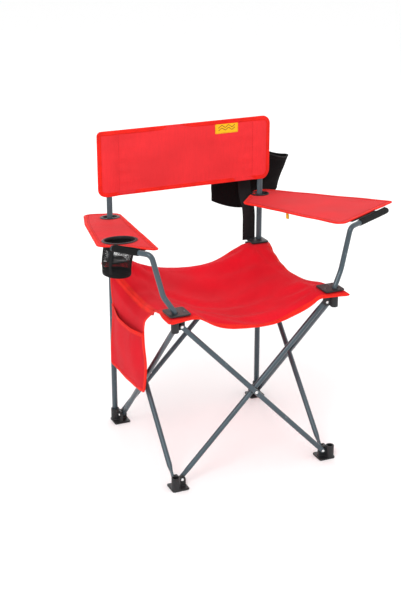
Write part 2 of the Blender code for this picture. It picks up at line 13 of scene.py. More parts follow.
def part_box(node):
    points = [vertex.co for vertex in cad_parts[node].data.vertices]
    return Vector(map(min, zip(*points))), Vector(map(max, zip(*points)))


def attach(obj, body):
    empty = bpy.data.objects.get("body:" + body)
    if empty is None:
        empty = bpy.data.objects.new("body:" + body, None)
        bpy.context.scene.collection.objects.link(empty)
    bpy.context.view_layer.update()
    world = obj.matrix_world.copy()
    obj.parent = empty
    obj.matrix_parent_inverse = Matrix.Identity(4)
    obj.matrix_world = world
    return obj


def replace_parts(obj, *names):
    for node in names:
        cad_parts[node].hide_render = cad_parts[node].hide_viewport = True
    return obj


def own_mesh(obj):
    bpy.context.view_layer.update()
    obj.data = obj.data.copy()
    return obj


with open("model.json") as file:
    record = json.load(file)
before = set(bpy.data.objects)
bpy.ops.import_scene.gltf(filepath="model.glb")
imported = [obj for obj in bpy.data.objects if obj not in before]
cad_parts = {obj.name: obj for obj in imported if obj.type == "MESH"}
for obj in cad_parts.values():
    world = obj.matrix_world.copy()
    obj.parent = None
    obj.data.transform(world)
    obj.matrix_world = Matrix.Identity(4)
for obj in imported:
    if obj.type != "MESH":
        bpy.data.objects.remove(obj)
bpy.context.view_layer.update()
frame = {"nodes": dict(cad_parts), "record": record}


def middle(node):
    low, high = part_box(node)
    return (low + high) / 2


def size(node):
    low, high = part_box(node)
    return high - low


# Places read from the frame
SOCKET = (middle("post_right").x - middle("post_left").x) / 2
ORIGIN = Vector((middle("post_left").x + SOCKET, middle("post_left").y - SOCKET, 0))
HALF = ORIGIN.x - middle("foot_rivet_inner_front_left").x
FOOT_Z = middle("foot_rivet_inner_front_left").z
HUB_Z = middle("hub_rivet_inner_front_left").z
POST_R = size("post_left").x / 2
POST_LOW, POST_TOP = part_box("post_left")[0].z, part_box("post_left")[1].z
PLATE_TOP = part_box("seat_plate_front_left")[1].z
SEAT_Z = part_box("seat_plate_front_left")[0].z - 0.0027  # middle of the clamped seat cloth
FRONT_SOCKET = 0.2425  # from the middle to an arm tube's foot, in x and in y
BAR_Z = middle("bar_sleeve_left").z + 0.009  # drawn up close beneath the boards' front edges

# Cloth, boards and tubes, about the middle of the frame
CLOTH = 0.0012  # thickness
CLAMP_AT = 0.2035  # a seat plate's inner edges, from the middle
BOARD_THICK = 0.0045
ARMREST = {"ring_z": 0.66, "slope": 0.1}
TABLE = {"ring_z": 0.675, "slope": 0.0676}
CUP_AT = (-0.325, -0.055)
CUP_R = 0.042
CUP_DEPTH = 0.1
ARM_R = 0.0075
LEG_R = 0.0075
TAPE = 0.0105  # width of the binding tape on one face
TAPE_PROUD = 0.0006
TAPE_TOP = CLOTH / 2 + TAPE_PROUD
STITCH_IN = 0.0084  # from an edge to its inner row of stitches
CORNERS = ("front_left", "front_right", "rear_right", "rear_left")
SIDES = ("left", "front", "right", "rear")


# ---------------------------------------------------------------- camera, light and floor
def add_object(name, data):
    obj = bpy.data.objects.new(name, data)
    bpy.context.scene.collection.objects.link(obj)
    return obj


def add_camera():
    """The viewpoint of a standing photographer, a little to the chair's right and above it."""
    data = bpy.data.cameras.new("camera")
    data.sensor_width = 36.0
    data.lens = 77.1
    data.shift_x = -0.0055
    data.shift_y = 0.0003
    obj = add_object("camera", data)
    back = Vector((-0.378, -0.8541, 0.3573))
    obj.location = ORIGIN + Vector((-1.4602, -3.1842, 1.7851))
    obj.rotation_mode = "QUATERNION"
    obj.rotation_quaternion = (-back).to_track_quat("-Z", "Y")
    bpy.context.scene.camera = obj


def add_light(name, place, width, power, target=(0, 0, 0.45)):
    data = bpy.data.lights.new(name, "AREA")
    data.shape = "DISK"
    data.size = width
    data.energy = power
    obj = add_object(name, data)
    obj.location = place
    obj.rotation_mode = "QUATERNION"
    obj.rotation_quaternion = (Vector(target) - Vector(place)).to_track_quat("-Z", "Y")


def add_studio():
    scene = bpy.context.scene
    scene.view_settings.view_transform = "Standard"
    world = bpy.data.worlds.new("studio")
    world.use_nodes = True
    world.node_tree.nodes["Background"].inputs["Color"].default_value = (1.0, 1.0, 1.0, 1.0)
    world.node_tree.nodes["Background"].inputs["Strength"].default_value = 1.0
    scene.world = world
    add_light("key", (-2.6, -3.0, 3.6), 2.2, 90)
    add_light("fill", (3.2, -2.4, 2.2), 2.5, 12)
    add_light("rim", (1.2, 3.4, 3.0), 2.5, 30)
    mesh = bpy.data.meshes.new("floor")
    reach = 30.0
    mesh.from_pydata([(-reach, -reach, 0), (reach, -reach, 0), (reach, reach, 0), (-reach, reach, 0)],
                     [], [(0, 1, 2, 3)])
    floor = add_object("floor", mesh)
    paper = bpy.data.materials.new("floor_paper")
    paper.use_nodes = True
    shader = paper.node_tree.nodes["Principled BSDF"]
    shader.inputs["Base Color"].default_value = (0.985, 0.985, 0.985, 1.0)
    shader.inputs["Roughness"].default_value = 0.9
    mesh.materials.append(paper)


# ---------------------------------------------------------------- materials
class Look:
    """A Principled material whose colour, roughness and relief come from nodes."""

    def __init__(self, name, **uniform):
        self.material = bpy.data.materials.new(name)
        self.material.use_nodes = True
        self.tree = self.material.node_tree
        self.shader = self.tree.nodes["Principled BSDF"]
        for socket, value in uniform.items():
            self.shader.inputs[socket.replace("_", " ")].default_value = value
        self.place = self.tree.nodes.new("ShaderNodeTexCoord").outputs["Object"]

    def connect(self, source, target):
        if isinstance(source, (int, float)):
            target.default_value = source
        else:
            self.tree.links.new(source, target)

    def math(self, operation, a, b=0.0):
        node = self.tree.nodes.new("ShaderNodeMath")
        node.operation = operation
        self.connect(a, node.inputs[0])
        self.connect(b, node.inputs[1])
        return node.outputs[0]

    def noise(self, scale, detail=3.0, stretch=(1, 1, 1)):
        mapping = self.tree.nodes.new("ShaderNodeMapping")
        mapping.inputs["Scale"].default_value = stretch
        self.connect(self.place, mapping.inputs["Vector"])
        node = self.tree.nodes.new("ShaderNodeTexNoise")
        node.inputs["Scale"].default_value = scale
        node.inputs["Detail"].default_value = detail
        self.connect(mapping.outputs[0], node.inputs["Vector"])
        return node.outputs["Fac"]

    def spread(self, value, low, high, to_low=0.0, to_high=1.0):
        """The value's part from low to high, spread over a new range."""
        node = self.tree.nodes.new("ShaderNodeMapRange")
        for i, number in enumerate((low, high, to_low, to_high)):
            node.inputs[i + 1].default_value = number
        self.connect(value, node.inputs[0])
        return node.outputs[0]

    def wave(self, axis, pitch, waver=0.0):
        """A sine along one axis, and how far slow noise moves its threads."""
        split = self.tree.nodes.new("ShaderNodeSeparateXYZ")
        self.connect(self.place, split.inputs[0])
        along = split.outputs["XYZ".index(axis)]
        if waver:
            along = self.math("ADD", along, self.math("MULTIPLY", self.noise(22.0, 1.0), waver))
        return self.math("SINE", self.math("MULTIPLY", along, 2 * math.pi / pitch))

    def mix(self, share, a, b):
        node = self.tree.nodes.new("ShaderNodeMix")
        node.data_type = "RGBA"
        self.connect(share, node.inputs["Factor"])
        for value, socket in ((a, node.inputs["A"]), (b, node.inputs["B"])):
            if isinstance(value, tuple):
                socket.default_value = (*value, 1.0)
            else:
                self.connect(value, socket)
        return node.outputs["Result"]

    def finish(self, colour, roughness, relief, depth):
        self.connect(colour, self.shader.inputs["Base Color"])
        self.connect(roughness, self.shader.inputs["Roughness"])
        bump = self.tree.nodes.new("ShaderNodeBump")
        bump.inputs["Strength"].default_value = 1.0
        bump.inputs["Distance"].default_value = depth
        self.connect(relief, bump.inputs["Height"])
        self.connect(bump.outputs["Normal"], self.shader.inputs["Normal"])
        return self.material


def shade(colour, by):
    return tuple(min(1.0, part * by) for part in colour)


def woven(name, colour, warp, weft, pitch=0.0013, sheen=0.03, tone_and_shade_mottle=0.11, depth=0.0002):
    """A plain-woven polyester: threads along two axes with painted shade where the weave sinks, slubs, a
    soft mottle of random tone made strong enough to paint in the light and shade of folds, and darker
    worn patches.
    """
    look = Look(name, Sheen_Weight=sheen, Sheen_Roughness=0.45, Specular_IOR_Level=0.08)
    over = look.wave(warp, pitch, pitch * 0.9)
    under = look.wave(weft, pitch, pitch * 0.9)
    weave = look.spread(look.math("MULTIPLY", over, under), -1.0, 1.0)
    stretch = tuple(0.12 if axis == warp else 1.0 for axis in "XYZ")
    slub = look.noise(260.0, 2.0, stretch)
    mottle = look.noise(9.0, 4.0)
    # The mottle is random tone, made strong enough to also paint in lighter and darker patches of shading
    # over soft folds.
    dark, light = shade(colour, 1 - tone_and_shade_mottle), shade(colour, 1 + tone_and_shade_mottle * 0.6)
    body = look.mix(look.spread(mottle, 0.32, 0.68), dark, light)
    body = look.mix(look.spread(slub, 0.35, 0.75, 0.0, 0.3), body, shade(colour, 0.78))
    # Darker where the weave sinks: painted shade between the threads.
    body = look.mix(look.spread(weave, 0.0, 0.5, 0.28, 0.0), body, shade(colour, 0.62))
    worn = look.spread(look.noise(26.0, 5.0), 0.5, 0.8, 0.0, 0.22)
    body = look.mix(worn, body, shade(colour, 0.9))
    relief = look.math("ADD", weave, look.math("MULTIPLY", slub, 0.8))
    return look.finish(body, look.spread(mottle, 0.3, 0.7, 0.7, 0.86), relief, depth)


def ribbed(name, colour, axis, pitch=0.0016, sheen=0.04, depth=0.00025):
    """Grosgrain tape or webbing, with ribs across its length, painted shade between the ribs, and a fine
    fuzz.
    """
    look = Look(name, Sheen_Weight=sheen, Sheen_Roughness=0.4, Specular_IOR_Level=0.12)
    ribs = look.spread(look.wave(axis, pitch, pitch * 0.5), -1.0, 1.0)
    fuzz = look.noise(900.0, 2.0)
    shading = look.noise(30.0, 3.0)
    body = look.mix(look.spread(shading, 0.3, 0.7), shade(colour, 0.86), shade(colour, 1.1))
    # Darker where the ribs sink: painted shade in the grooves between them.
    body = look.mix(look.spread(ribs, 0.0, 0.6, 0.26, 0.0), body, shade(colour, 0.6))
    relief = look.math("ADD", ribs, look.math("MULTIPLY", fuzz, 0.5))
    return look.finish(body, look.spread(fuzz, 0.3, 0.7, 0.62, 0.8), relief, depth)


def coated_steel(name, colour):
    """Powder coat: fine orange peel, slight tone changes and small rubbed spots."""
    look = Look(name, Metallic=0.35, Coat_Weight=0.15, Coat_Roughness=0.22, Specular_IOR_Level=0.5)
    peel = look.noise(700.0, 2.0)
    tone = look.noise(16.0, 4.0)
    rub = look.spread(look.noise(120.0, 6.0, (1, 1, 0.35)), 0.66, 0.74)
    body = look.mix(look.spread(tone, 0.3, 0.7), shade(colour, 0.88), shade(colour, 1.14))
    body = look.mix(look.math("MULTIPLY", rub, 0.45), body, (0.3, 0.33, 0.35))
    rough = look.math("ADD", look.spread(tone, 0.3, 0.7, 0.3, 0.4), look.math("MULTIPLY", rub, 0.12))
    return look.finish(body, rough, peel, 0.00008)


def moulded(name, colour):
    """Injection-moulded nylon: spark-eroded grain, scuffs and a greyed bloom."""
    look = Look(name, Specular_IOR_Level=0.35)
    grain = look.noise(1500.0, 2.0)
    bloom = look.noise(45.0, 4.0)
    scuff = look.spread(look.noise(210.0, 6.0, (1, 0.3, 1)), 0.62, 0.72)
    body = look.mix(look.spread(bloom, 0.35, 0.7), colour, shade(colour, 2.0))
    body = look.mix(look.math("MULTIPLY", scuff, 0.35), body, (0.085, 0.085, 0.088))
    rough = look.math("ADD", look.spread(bloom, 0.3, 0.7, 0.34, 0.5), look.math("MULTIPLY", scuff, 0.2))
    return look.finish(body, rough, grain, 0.00012)


def plated(name, bright=(0.86, 0.87, 0.88), dulled=(0.58, 0.58, 0.57)):
    """Metal plate with turning marks and dulled spots."""
    look = Look(name, Metallic=1.0)
    marks = look.noise(2200.0, 2.0, (1, 1, 4))
    dull = look.noise(300.0, 4.0)
    body = look.mix(look.spread(dull, 0.4, 0.7), bright, dulled)
    return look.finish(body, look.spread(dull, 0.35, 0.7, 0.16, 0.38), marks, 0.00004)


RED = (0.72, 0.007, 0.019)
PANEL_RED = (0.8, 0.036, 0.042)
TAPE_RED = (0.85, 0.02, 0.012)
THREAD_RED = (0.43, 0.008, 0.012)
STEEL = coated_steel("powder_coat", (0.05, 0.074, 0.09))
PLASTIC = moulded("black_nylon", (0.01, 0.01, 0.011))
NICKEL = plated("nickel")
ZINC = plated("black_zinc", (0.16, 0.16, 0.17), (0.07, 0.07, 0.08))
SEAT_CLOTH = woven("seat_weave", RED, "Y", "X")
BOARD_CLOTH = woven("board_weave", shade(PANEL_RED, 0.93), "Y", "X")
PANEL_CLOTH = woven("panel_weave", PANEL_RED, "Z", "X")
POCKET_CLOTH = woven("pocket_weave", shade(RED, 0.92), "Z", "Y")
SEAT_TAPE = ribbed("seat_tape", TAPE_RED, "Y")
CROSS_TAPE = ribbed("panel_tape", TAPE_RED, "X")
POCKET_TAPE = ribbed("pocket_tape", TAPE_RED, "Z")
THREAD = ribbed("red_thread", THREAD_RED, "X", 0.0006, depth=0.0001)
DARK_THREAD = ribbed("black_thread", (0.035, 0.034, 0.036), "X", 0.0006, depth=0.0001)
BAG_CLOTH = woven("bag_weave", (0.005, 0.003, 0.0034), "Z", "X", 0.0016, 0.0, 0.3, 0.0003)
BAG_PIPING = ribbed("bag_piping", (0.018, 0.017, 0.018), "X", 0.001)
BELT = ribbed("black_webbing", (0.014, 0.014, 0.015), "Z", 0.0019, depth=0.0004)
# Near-black webbing, darker than the strap webbing: painted shadow, so the bar sleeves and the flaps
# under the boards read as shade. The cup's bands use it too.
SHADOW_DARK_WEBBING = ribbed("shadow_dark_webbing", (0.0065, 0.0065, 0.007), "X", 0.0019, depth=0.0004)
NET = ribbed("net_yarn", (0.012, 0.012, 0.013), "Z", 0.0008, depth=0.0001)
LABEL_YELLOW = woven("label_weave", (0.96, 0.52, 0.02), "Z", "X", 0.0006, 0.05, 0.05, 0.0001)
TAB_YELLOW = ribbed("tab_weave", (0.88, 0.56, 0.03), "Z", 0.0009, depth=0.0002)


# ---------------------------------------------------------------- shapes
def unit(rows):
    return rows / np.linalg.norm(rows, axis=1)[:, None]


def run_of(path, closed):
    """The unit direction of a path at each of its points."""
    ahead = np.roll(path, -1, 0) - np.roll(path, 1, 0)
    if not closed:
        ahead[0], ahead[-1] = path[1] - path[0], path[-1] - path[-2]
    return unit(ahead)


def full_turn(sides):
    return 2 * np.pi * np.arange(sides) / sides


def fours(marks):
    """Each four points in turn, for one stitch."""
    return [marks[start:start + 4] for start in range(0, len(marks) - 3, 4)]


def corner_arc(before, here, after, radius):
    """The centre of the arc that rounds off a corner, and the arc's two ends from there."""
    back, on = (before - here).normalized(), (after - here).normalized()
    half = back.angle(on) / 2
    centre = here + (back + on).normalized() * (radius / math.sin(half))
    reach = radius / math.tan(half)
    return centre, here + back * reach - centre, here + on * reach - centre


def object_from(name, points, faces, material, body, slot, normals=None, sharp=40):
    """A piece that rides on a body, from points about the frame's middle."""
    mesh = bpy.data.meshes.new(name)
    mesh.from_pydata((np.asarray(points, float) + np.array(ORIGIN)).tolist(), [], faces)
    mesh.materials.append(material)
    mesh.shade_smooth()
    if normals is not None:
        mesh.normals_split_custom_set_from_vertices(np.asarray(normals, float).tolist())
    elif sharp:
        mesh.set_sharp_from_angle(angle=math.radians(sharp))
    obj = add_object(name, mesh)
    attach(obj, body)
    return obj


class Shape:
    """Points and faces gathered from several simple sweeps."""

    def __init__(self):
        self.points, self.faces = [], []

    def rings(self, rings, closed=False, caps=True):
        """Joins rings of equally many points; closed joins the last ring to the first."""
        first, sides = len(self.points), len(rings[0])
        for ring in rings:
            self.points.extend(np.asarray(ring, float).tolist())
        pairs = len(rings) if closed else len(rings) - 1
        for r in range(pairs):
            a, b = first + r * sides, first + (r + 1) % len(rings) * sides
            for i in range(sides):
                j = (i + 1) % sides
                self.faces.append((a + i, a + j, b + j, b + i))
        if caps and not closed:
            last = first + (len(rings) - 1) * sides
            self.faces.append(tuple(first + i for i in reversed(range(sides))))
            self.faces.append(tuple(last + i for i in range(sides)))

    def tube(self, route, radius, sides=12, closed=False):
        """A round tube along a route; radius is a number or one for each point."""
        route = np.asarray(route, float)
        radii = np.broadcast_to(np.asarray(radius, float), len(route))
        ahead = run_of(route, closed)
        side = np.cross(ahead[0], (0, 0, 1) if abs(ahead[0][2]) < 0.9 else (0, 1, 0))
        turns = full_turn(sides)
        rings = []
        for place, direction, r in zip(route, ahead, radii):
            side = side - direction * (side @ direction)
            side /= np.linalg.norm(side)
            other = np.cross(direction, side)
            rings.append(place + r * (np.outer(np.cos(turns), side)
                                      + np.outer(np.sin(turns), other)))
        self.rings(rings, closed)

    def turned(self, profile, sides, matrix, closed=True):
        """A profile of (radius, height) points turned about Z, then placed by a matrix."""
        turns = full_turn(sides)
        rings = []
        for radius, height in profile:
            ring = np.stack([radius * np.cos(turns), radius * np.sin(turns), np.full(sides, height)], 1)
            rings.append([tuple(matrix @ Vector(p)) for p in ring])
        self.rings(rings, closed)

    def make(self, name, material, body, slot, sharp=40):
        return object_from(name, self.points, self.faces, material, body, slot, sharp=sharp)


def spaced(path, step, closed=False):
    """The path's points again at an even step."""
    path = np.asarray(path, float)
    if closed:
        path = np.vstack([path, path[:1]])
    run = np.concatenate([[0], np.cumsum(np.linalg.norm(np.diff(path, axis=0), axis=1))])
    count = max(2, round(run[-1] / step))
    marks = np.linspace(0, run[-1], count + 1)
    if closed:
        marks = marks[:-1]
    return np.stack([np.interp(marks, run, path[:, i]) for i in range(path.shape[1])], 1)


def softened(loop, reach, step):
    """A closed loop with its corners rounded off over about a reach."""
    loop = spaced(loop, step, True)
    count = max(1, round(reach / step))
    shares = np.hanning(2 * count + 3)[1:-1]
    shares /= shares.sum()
    return sum(share * np.roll(loop, i - count, 0) for i, share in enumerate(shares))


def curved(points, step, closed=False):
    """A smooth curve through points, at an even step."""
    points = np.asarray(points, float)
    count = len(points)
    found = []
    for i in range(count if closed else count - 1):
        picks = [i - 1, i, i + 1, i + 2]
        a, b, c, d = (points[p % count if closed else min(max(p, 0), count - 1)] for p in picks)
        for t in np.linspace(0, 1, 12, endpoint=False):
            found.append(0.5 * (2 * b + (c - a) * t + (2 * a - 5 * b + 4 * c - d) * t ** 2
                                + (3 * b - a - 3 * c + d) * t ** 3))
    if not closed:
        found.append(points[-1])
    return spaced(found, step, closed)


def rounded(corners, step=0.0035):
    """An even outline with each (x, y, radius) corner rounded off by an arc."""
    points = []
    for i, (x, y, radius) in enumerate(corners):
        before, after = corners[i - 1], corners[(i + 1) % len(corners)]
        centre, first, last = corner_arc(Vector(before[:2]), Vector((x, y)), Vector(after[:2]), radius)
        sweep = first.angle_signed(last)
        points += [tuple(centre + Matrix.Rotation(-sweep * n / 12, 2) @ first) for n in range(13)]
    return spaced(points, step, True)


def circle(at, radius, sides=48):
    turns = full_turn(sides)
    return at + radius * np.stack([np.cos(turns), np.sin(turns)], 1)


def signed_area(loop):
    x, y = np.asarray(loop).T
    return float(np.sum(x * np.roll(y, -1) - y * np.roll(x, -1))) / 2


def area_of(loop):
    return abs(signed_area(loop))


def counterclockwise(path):
    return np.asarray(path) if signed_area(path) > 0 else np.asarray(path)[::-1]


def within(points, loop):
    """Which points lie inside a closed loop."""
    x, y = points[:, :1], points[:, 1:]
    ax, ay = loop[:, 0], loop[:, 1]
    bx, by = np.roll(ax, -1), np.roll(ay, -1)
    rising = (ay > y) != (by > y)
    slope = (bx - ax) / np.where(by == ay, 1e-12, by - ay)
    return (rising & (x < ax + slope * (y - ay))).sum(1) % 2 == 1


def inside(points, loops):
    """Which points lie inside the first loop and outside the rest."""
    keep = within(points, loops[0])
    for hole in loops[1:]:
        keep &= ~within(points, hole)
    return keep


def filled(outline, holes, pitch):
    """Points and triangles that fill an outline less its holes."""
    loops = [np.asarray(loop, float) for loop in (outline, *holes)]
    border = np.vstack(loops)
    low, high = loops[0].min(0), loops[0].max(0)
    row = np.arange(low[0], high[0], pitch)
    lattice = np.vstack([np.stack([row + pitch / 2 * (r % 2), np.full(len(row), y)], 1)
                         for r, y in enumerate(np.arange(low[1], high[1], pitch * 0.866))])
    lattice = lattice[inside(lattice, loops)]
    near = np.array([np.linalg.norm(border - p, axis=1).min() for p in lattice])
    lattice = lattice[near > pitch * 0.55]
    edges, first = [], 0
    for loop in loops:
        edges += [(first + i, first + (i + 1) % len(loop)) for i in range(len(loop))]
        first += len(loop)
    flat = [Vector(p) for p in np.vstack([border, lattice])]
    points, _, faces, *_ = geometry.delaunay_2d_cdt(flat, edges, [], 0, 1e-6)
    points = np.array([tuple(p) for p in points])
    faces = np.array([face for face in faces if len(face) == 3])
    return points, faces[inside(points[faces].mean(1), loops)]


def cloth(name, outline, place, material, body, slot, thick=CLOTH, holes=(), pitch=0.006):
    """A closed sheet over a flat outline. place(u, v, h) gives points h above its middle face."""
    flat, faces = filled(outline, holes, pitch)
    u, v = flat.T
    tiny = 1e-4
    along = place(u + tiny, v, 0 * u) - place(u - tiny, v, 0 * u)
    across = place(u, v + tiny, 0 * u) - place(u, v - tiny, 0 * u)
    normals = unit(np.cross(along, across))
    upper, lower = place(u, v, 0 * u + thick / 2), place(u, v, 0 * u - thick / 2)
    if ((upper - lower) * normals).sum() < 0:
        normals = -normals
    a, b, c = (upper[faces[:, i]] for i in range(3))
    if (np.cross(b - a, c - a) * normals[faces[:, 0]]).sum() < 0:
        faces = faces[:, ::-1]
    directed = {(int(f[i]), int(f[(i + 1) % 3])) for f in faces for i in range(3)}
    rim = [(a, b) for a, b in directed if (b, a) not in directed]
    count = len(flat)
    walls = [(b, a, a + count, b + count) for a, b in sorted(rim)]
    every = faces.tolist() + (faces[:, ::-1] + count).tolist() + walls
    return object_from(name, np.vstack([upper, lower]), every, material, body, slot,
                       normals=np.vstack([normals, -normals]))


def inward(path, closed):
    """Unit normals in the plane that point to the left of the path's run."""
    ahead = run_of(path, closed)
    return np.stack([-ahead[:, 1], ahead[:, 0]], 1)


def binding(name, path, place, material, body, slot, closed=True, width=TAPE, thick=CLOTH):
    """Tape folded over an edge. The cloth lies to the left of the path's run."""
    normals = inward(path, closed)
    h = thick / 2 + TAPE_PROUD
    half = [(width, h * 0.8), (width * 0.96, h), (width * 0.75, h * 1.02), (width * 0.5, h * 1.12),
            (width * 0.2, h * 1.08), (0.0002, h * 0.95), (-0.0007, h * 0.6), (-0.0011, h * 0.2)]
    profile = half + [(d, -z) for d, z in reversed(half)]
    rings = []
    for inset, height in profile:
        at = path + normals * inset
        rings.append(place(at[:, 0], at[:, 1], np.full(len(at), height)))
    shape = Shape()
    shape.rings(np.stack(rings, 1), closed)
    return shape.make(name, material, body, slot, sharp=60)


def stitches(name, paths, place, material, body, slot, heights, closed=True, step=0.0046, yarn=0.00042):
    """Thread stitches along paths, sunk at both ends, on each of the given heights."""
    shape = Shape()
    for path in paths:
        for four in fours(spaced(path, step / 4, closed)):
            u, v = four.T
            for height in heights:
                sink = np.array([-0.5, 0.55, 0.55, -0.5]) * yarn * math.copysign(1, height)
                shape.tube(place(u, v, height + sink), yarn * np.array([0.6, 1, 1, 0.6]), 6)
    return shape.make(name, material, body, slot, sharp=0)


def sewn(name, rows, place, body, slot, closed=True, top=TAPE_TOP):
    """Red stitches on both faces of a bound edge."""
    return stitches(name, rows, place, THREAD, body, slot, (top, -top), closed)


def offset(path, inset, closed=True):
    return path + inward(path, closed) * inset


def smooth(value, low, high):
    t = np.clip((value - low) / (high - low), 0, 1)
    return t * t * (3 - 2 * t)


def ripple(x, y, size_m, seed, waves=7):
    """Smooth unevenness of about unit height with features of the given size."""
    rng = np.random.default_rng(seed)
    total = 0 * x
    for _ in range(waves):
        turn, phase = rng.uniform(0, 2 * np.pi, 2)
        k = 2 * np.pi / (size_m * rng.uniform(0.7, 1.6))
        total = total + np.sin(k * (x * np.cos(turn) + y * np.sin(turn)) + phase)
    return total / math.sqrt(waves)


def raised(height):
    """A place() for a surface given as height(x, y), with h measured along its normal."""
    def place(x, y, h):
        step = 5e-4
        slope_x = (height(x + step, y) - height(x - step, y)) / (2 * step)
        slope_y = (height(x, y + step) - height(x, y - step)) / (2 * step)
        length = np.sqrt(slope_x ** 2 + slope_y ** 2 + 1)
        return np.stack([x - slope_x / length * h, y - slope_y / length * h,
                         height(x, y) + h / length], 1)
    return place


# ---------------------------------------------------------------- tubes, rivets and castings
def make_legs():
    """Crossed leg tubes, each flattened and rounded at both ends."""
    direction = Vector((2 * HALF, HUB_Z - FOOT_Z))
    half = direction.length / 2
    flat, end = 0.003, 0.007
    sections = [(-end * math.cos(math.radians(a)), end * math.sin(math.radians(a)), flat * min(1, a / 40))
                for a in (4, 12, 24, 36, 48, 60, 75, 90)]
    sections += [(z, end, flat) for z in (0.007, 0.013, 0.019)]
    for n in range(1, 10):
        t = smooth(n / 9, 0, 1)
        sections.append((0.019 + 0.024 * n / 9, end + (LEG_R - end) * t, flat + (LEG_R - flat) * t))
    sections = [(-half + z, width, thick) for z, width, thick in sections]
    sections += [(-z, width, thick) for z, width, thick in reversed(sections)]
    turns = full_turn(32)
    for side in SIDES:
        for kind in ("outer", "inner"):
            node = f"leg_{side}_{kind}"
            spans = size(node)
            normal, run = (0, 1) if spans.x < spans.y else (1, 0)
            points = np.array([v.co[:] for v in frame["nodes"][node].data.vertices])
            rising = np.cov(points[:, run], points[:, 2])[0, 1] > 0
            along = np.zeros(3)
            along[run], along[2] = direction.x if rising else -direction.x, direction.y
            along /= np.linalg.norm(along)
            out = np.eye(3)[normal]
            across = np.cross(out, along)
            centre = np.array(middle(node) - ORIGIN)
            rings = []
            for z, width, thick in sections:
                square = 0.15 + 0.85 * (thick - flat * 0.9) / (LEG_R - flat * 0.9)
                square = min(1.0, max(0.35, square))
                c = np.sign(np.cos(turns)) * np.abs(np.cos(turns)) ** (0.5 + 0.5 * square)
                s = np.sign(np.sin(turns)) * np.abs(np.sin(turns)) ** square
                rings.append(centre + np.outer(width * c, across) + np.outer(thick * s, out) + along * z)
            shape = Shape()
            shape.rings(rings)
            obj = shape.make("tube_" + node, STEEL, f"{side}_{kind}", "frame_steel")
            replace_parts(obj, node)


def pin_axis(node):
    """0 or 1, for a pin along x or y."""
    return 0 if size(node).x > size(node).y else 1


def upright_to(out):
    return Vector((0, 0, 1)).rotation_difference(out).to_matrix().to_4x4()


def make_rivets():
    """Rivets with domed heads and a drilled dimple. Outer ones have a head on their outside only."""
    head, high = 0.0048, 0.002
    dome = [(0.0, high * 0.72), (0.001, high * 0.74), (0.0014, high * 0.98), (0.0024, high * 0.95),
            (0.0036, high * 0.74), (0.0044, high * 0.4), (head, 0.0002), (head, 0.0), (0.0025, 0.0)]
    for node in sorted(n for n in frame["nodes"] if "rivet" in n):
        axis = pin_axis(node)
        centre = middle(node) - ORIGIN
        out = Vector((0, 0, 0))
        out[axis] = math.copysign(1, centre[axis])
        half = size(node)[axis] / 2
        profile = [(0.0, -half), (0.0025, -half)]
        if "_outer_" not in node:
            low = -half + high
            profile = [(r, low - z) for r, z in dome]
        profile = profile + [(r, half - high + z) for r, z in reversed(dome)]
        shape = Shape()
        shape.turned(profile, 28, Matrix.Translation(centre) @ upright_to(out), closed=False)
        body = next(b for b, names in frame["record"]["behaviour"]["bodies"].items() if node in names)
        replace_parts(shape.make("dome_" + node, NICKEL, body, "rivet_metal", sharp=50), node)


def make_washers():
    """A thin nylon washer between each pair of crossed legs."""
    for side in SIDES:
        node = "cross_rivet_" + side
        out = Vector((0, 0, 0))
        out[pin_axis(node)] = 1
        profile = [(0.0032, -0.00035), (0.0032, 0.00035), (0.0098, 0.00035), (0.0102, 0.0),
                   (0.0098, -0.00035)]
        shape = Shape()
        shape.turned(profile, 32, Matrix.Translation(middle(node) - ORIGIN) @ upright_to(out))
        shape.make("cross_washer_" + side, PLASTIC, f"{side}_outer", "black_plastic")


def make_castings():
    """The corner mouldings and seat plates with every edge and inner corner softened."""
    for corner in CORNERS:
        for stem, carrier, voxel in (("foot_", "foot_", 0.0009), ("hub_", "hub_", 0.0009),
                                     ("seat_plate_", "hub_", 0.001)):
            node, body = stem + corner, carrier + corner
            if body == "foot_rear_left":
                body = "frame"
            obj = add_object("moulding_" + node, frame["nodes"][node].data.copy())
            weld = obj.modifiers.new("weld", "WELD")
            weld.merge_threshold = 1e-5
            remesh = obj.modifiers.new("remesh", "REMESH")
            remesh.mode = "VOXEL"
            remesh.voxel_size = voxel
            ease = obj.modifiers.new("smooth", "SMOOTH")
            ease.factor, ease.iterations = 0.5, 5
            graph = bpy.context.evaluated_depsgraph_get()
            mesh = bpy.data.meshes.new_from_object(obj.evaluated_get(graph))
            obj.modifiers.clear()
            obj.data = mesh
            mesh.materials.clear()
            mesh.materials.append(PLASTIC)
            mesh.shade_smooth()
            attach(obj, body)
            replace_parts(obj, node)


def make_screws():
    """Two pan-head screws in each seat plate, with a cross recess."""
    head = 0.0034
    for k, corner in enumerate(CORNERS):
        socket = FRONT_SOCKET if k < 2 else SOCKET
        turn = Matrix.Rotation(math.radians(90 * k), 4, "Z")
        shape = Shape()
        for x, y in ((0.029, 0.004), (0.004, 0.029)):
            at = turn @ Vector((x - socket, y - socket, PLATE_TOP))
            profile = [(0.0, 0.0011), (0.001, 0.0012), (0.0022, 0.00115), (0.003, 0.0008), (head, 0.0),
                       (head, -0.001), (0.0, -0.001)]
            shape.turned(profile, 24, Matrix.Translation(at), closed=False)
            for flat_turn in (0.3, 0.3 + math.pi / 2):
                reach = Vector((math.cos(flat_turn), math.sin(flat_turn), 0)) * 0.0017
                lift = Vector((0, 0, 0.0011))
                shape.tube([at + lift - reach, at + lift, at + lift + reach], 0.00028, 6)
        shape.make("plate_screws_" + corner, ZINC, "hub_" + corner, "rivet_metal")


